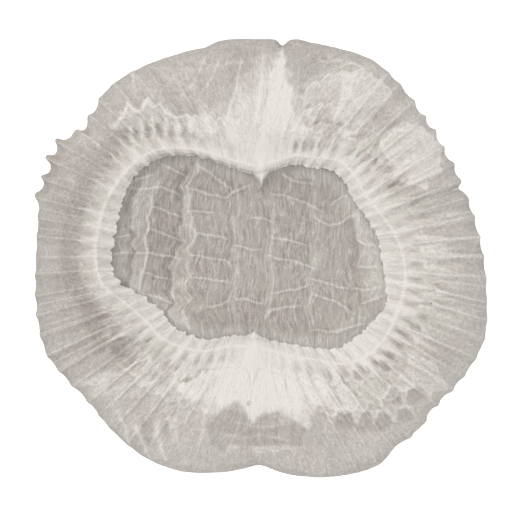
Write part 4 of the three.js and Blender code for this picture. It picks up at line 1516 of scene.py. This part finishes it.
@dataclass
class EndSeal:
    """The fused end of all the pleats: a wedge with fine ridges that run to its tip in the opening."""

    material: bpy.types.Material
    thickness: float = 3.6
    reach: float = 8.0
    rows: int = 81
    columns: int = 49
    step: int = 4

    def half_width(self, travel: Array, reach: float) -> Array:
        """Half the wedge's width in millimetres: a spear that ends in a thin spike of this reach.

        Args:
            travel: travel past the raw edge in millimetres, in equal steps.
            reach: how far past the folded edge the spike runs.

        Returns:
            Half the width at each travel.
        """
        knots = (-9.0, 0.0, 8.0, 17.0, 22.0, 26.2, 26.8 + 0.1 * reach, 25.0 + 0.6 * reach, 25.0 + reach)
        widths = (0.4, 3.6, 6.6, 7.2, 5.8, 4.4, 0.34 * reach, 0.17 * reach, 0.4)
        width = np.interp(travel, knots, widths)
        return np.convolve(np.pad(width, 2, mode="edge"), np.full(5, 0.2), mode="valid")

    def build(self, name: str, at: float, share: float, node: str) -> bpy.types.Object:
        """The wedge on one seal's middle, from beyond the raw edge to its tip.

        Args:
            name: the object's name.
            at: the seal's angle in degrees.
            share: how much of its reach the spike takes.
            node: the CAD node that it replaces.

        Returns:
            The wedge's object.
        """
        angles = on_column(at) + np.array([-SEAL_SPAN, SEAL_SPAN]) * COLUMN_ANGLE
        rows = FORM.rows(angles)[CREST_ROW:]
        tip = rows[-1].mean(axis=0)
        outward = np.array([tip[0], tip[1], 0.0])
        outward /= np.linalg.norm(outward)
        across = rows[-1, 1] - rows[-1, 0]
        across /= np.linalg.norm(across)
        tip = tip - outward * share * self.reach
        rows = np.concatenate([rows, np.stack([tip - across, tip + across])[None]])
        knots = ROW_TRAVEL[CREST_ROW:] - TRAVEL_RAW
        knots = np.append(knots, knots[-1] + share * self.reach)
        travel = np.linspace(-9.0, knots[-1], self.rows)[:, None]
        edges = loft(rows, knots, np.broadcast_to(travel, (self.rows, 2)))
        u = np.broadcast_to(np.linspace(-1.0, 1.0, self.columns), (self.rows, self.columns))
        half = self.half_width(travel[:, 0], share * self.reach)[:, None]
        travel = np.broadcast_to(travel, u.shape)
        outer = (edges[:, :1] + edges[:, 1:]) / 2 + across * (u * half)[..., None]
        outer = outer - outward * (1.3 * smooth(16.0, 23.0, travel))[..., None]
        blunt = 0.4 + 0.6 * np.sqrt(np.clip((knots[-1] - travel) / 5.0, 0, 1))
        crest = np.interp(travel, (-9.0, 0.0, 8.0, 14.0, 21.0), (0.1, 0.8, 1.4, 2.6, self.thickness))
        ridges = 0.05 * np.cos(u * 9.0 + 0.6 * np.sin(travel * 0.5))
        ridges = ridges + 0.1 * lattice(u * 4, travel / 7, 1.0, 61)
        s = self.step
        under = outer[::s, ::s].copy()
        under[..., 2] += GAP
        outer[..., 2] += GAP + 0.12 + crest * (1.0 - u * u) * blunt + ridges * smooth(-9.0, 6.0, travel)
        tone = np.clip(0.98 + 0.12 * ridges - 0.5 * (1 - smooth(-11.0, 6.0, travel)) * np.abs(u), 0, 1)
        lay = np.stack([u * half, travel], axis=-1) * MM
        thing = cloth_mesh(name, outer, under, (tone, tone[::s, ::s]), (lay, lay[::s, ::s]))
        thing.data.materials.append(self.material)
        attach(thing, "root")
        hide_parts(node)
        return thing


@dataclass
class Studio:
    """Pale floor, soft lights and the camera that looks straight down."""

    distance: float = 3.2
    sensor: float = 36.0
    floor_half: float = 4.0

    def build(self) -> None:
        """Adds the floor, the lights, the world and the camera."""
        self.floor()
        self.light("upper_light", (-0.34, 0.26, 2.6), 0.9, 32.5)
        self.light("lower_light", (0.34, -0.26, 2.6), 0.9, 21.0)
        self.light("side_light", (-1.3, 1.0, 1.2), 0.8, 5.0)
        world = bpy.data.worlds.new("soft_room")
        world.use_nodes = True
        sky = world.node_tree.nodes["Background"]
        sky.inputs["Color"].default_value = (1.0, 1.0, 1.0, 1.0)
        sky.inputs["Strength"].default_value = 0.26
        bpy.context.scene.world = world
        bpy.context.scene.view_settings.view_transform = "Standard"
        self.camera()

    def floor(self) -> None:
        """A wide pale floor just under the cap."""
        mesh = bpy.data.meshes.new("floor")
        half = self.floor_half
        corners = [(-half, -half, 0.0), (half, -half, 0.0), (half, half, 0.0), (-half, half, 0.0)]
        mesh.from_pydata(corners, [], [(0, 1, 2, 3)])
        floor = bpy.data.objects.new("floor", mesh)
        made = bpy.data.materials.new("pale_floor")
        made.use_nodes = True
        shader = made.node_tree.nodes["Principled BSDF"]
        shader.inputs["Base Color"].default_value = (0.92, 0.92, 0.92, 1.0)
        shader.inputs["Roughness"].default_value = 0.8
        shader.inputs["Emission Color"].default_value = (1.0, 1.0, 1.0, 1.0)
        shader.inputs["Emission Strength"].default_value = 0.55
        mesh.materials.append(made)
        bpy.context.scene.collection.objects.link(floor)

    def light(self, name: str, place: tuple[float, float, float], size: float, power: float) -> None:
        """A square soft light that faces the cap.

        Args:
            name: the lamp's name.
            place: where it hangs, in metres.
            size: its side in metres.
            power: its power in watts.
        """
        lamp = bpy.data.lights.new(name, "AREA")
        lamp.size, lamp.energy = size, power
        thing = bpy.data.objects.new(name, lamp)
        thing.location = place
        flat = math.hypot(place[0], place[1])
        thing.rotation_euler = (0.0, math.atan2(flat, place[2]), math.atan2(place[1], place[0]))
        bpy.context.scene.collection.objects.link(thing)

    def camera(self) -> None:
        """The camera over the photograph's middle, as far up as gives its scale."""
        lens = bpy.data.cameras.new("camera")
        lens.sensor_width = self.sensor
        lens.lens = self.sensor * self.distance / (max(PHOTO_SIZE) * PIXEL * MM)
        lens.clip_end = 20.0
        thing = bpy.data.objects.new("camera", lens)
        shift = FORM.middle()
        x = (PHOTO_SIZE[0] / 2 - PHOTO_OPENING[0]) * PIXEL - shift[0]
        y = (PHOTO_OPENING[1] - PHOTO_SIZE[1] / 2) * PIXEL - shift[1]
        thing.location = (x * MM, y * MM, self.distance + LOFT / 2 * MM)
        bpy.context.scene.collection.objects.link(thing)
        bpy.context.scene.camera = thing


def dress_elastic(material: bpy.types.Material) -> None:
    """Gives both elastic threads, which lie in the hem's tunnel, their rubber.

    Args:
        material: the rubber.
    """
    for name in ("elastic_left", "elastic_right"):
        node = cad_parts[name]
        if not node.material_slots:
            node.data.materials.append(material)
        node.material_slots[0].link = "OBJECT"
        node.material_slots[0].material = material


def main() -> None:
    """Builds the cap piece by piece, then the studio."""
    logging.basicConfig(level=logging.INFO, format="%(message)s")
    fibres, plies = fibre_group(), ply_group()
    ring_cloth = ClothFinish("crown_cloth", 620.0, 380.0).material(fibres, plies)
    base_cloth = ClothFinish("crown_base_cloth", ripple=0.3).material(fibres, plies)
    hem_cloth = ClothFinish("hem_cloth", 620.0, 300.0, 0.6).material(fibres, plies)
    seal_cloth = ClothFinish("seal_cloth", 900.0, 120.0, 0.2).material(fibres, plies)
    for piece in CrownSheet(ring_cloth, base_cloth).build():
        log.info("%s: %d faces", piece.name, len(piece.data.polygons))
    hem = Hem(hem_cloth)
    back, front = (on_column(at) for at in SEAL_ANGLES)
    margin = SEAL_SPAN * COLUMN_ANGLE - SEAL_OVERLAP
    pieces = [
        hem.build("hem_cloth_left", back + margin, front - margin, "hem_left"),
        hem.build("hem_cloth_right", front + margin - 360.0, back - margin, "hem_right"),
    ]
    seal = EndSeal(seal_cloth)
    pieces.append(seal.build("seal_back", SEAL_ANGLES[0], SPIKE_SHARES[0], "end_seal_back"))
    pieces.append(seal.build("seal_front", SEAL_ANGLES[1], SPIKE_SHARES[1], "end_seal_front"))
    for piece in pieces:
        log.info("%s: %d faces", piece.name, len(piece.data.polygons))
    dress_elastic(RubberFinish().material())
    Studio().build()


if __name__ == "__main__":
    main()
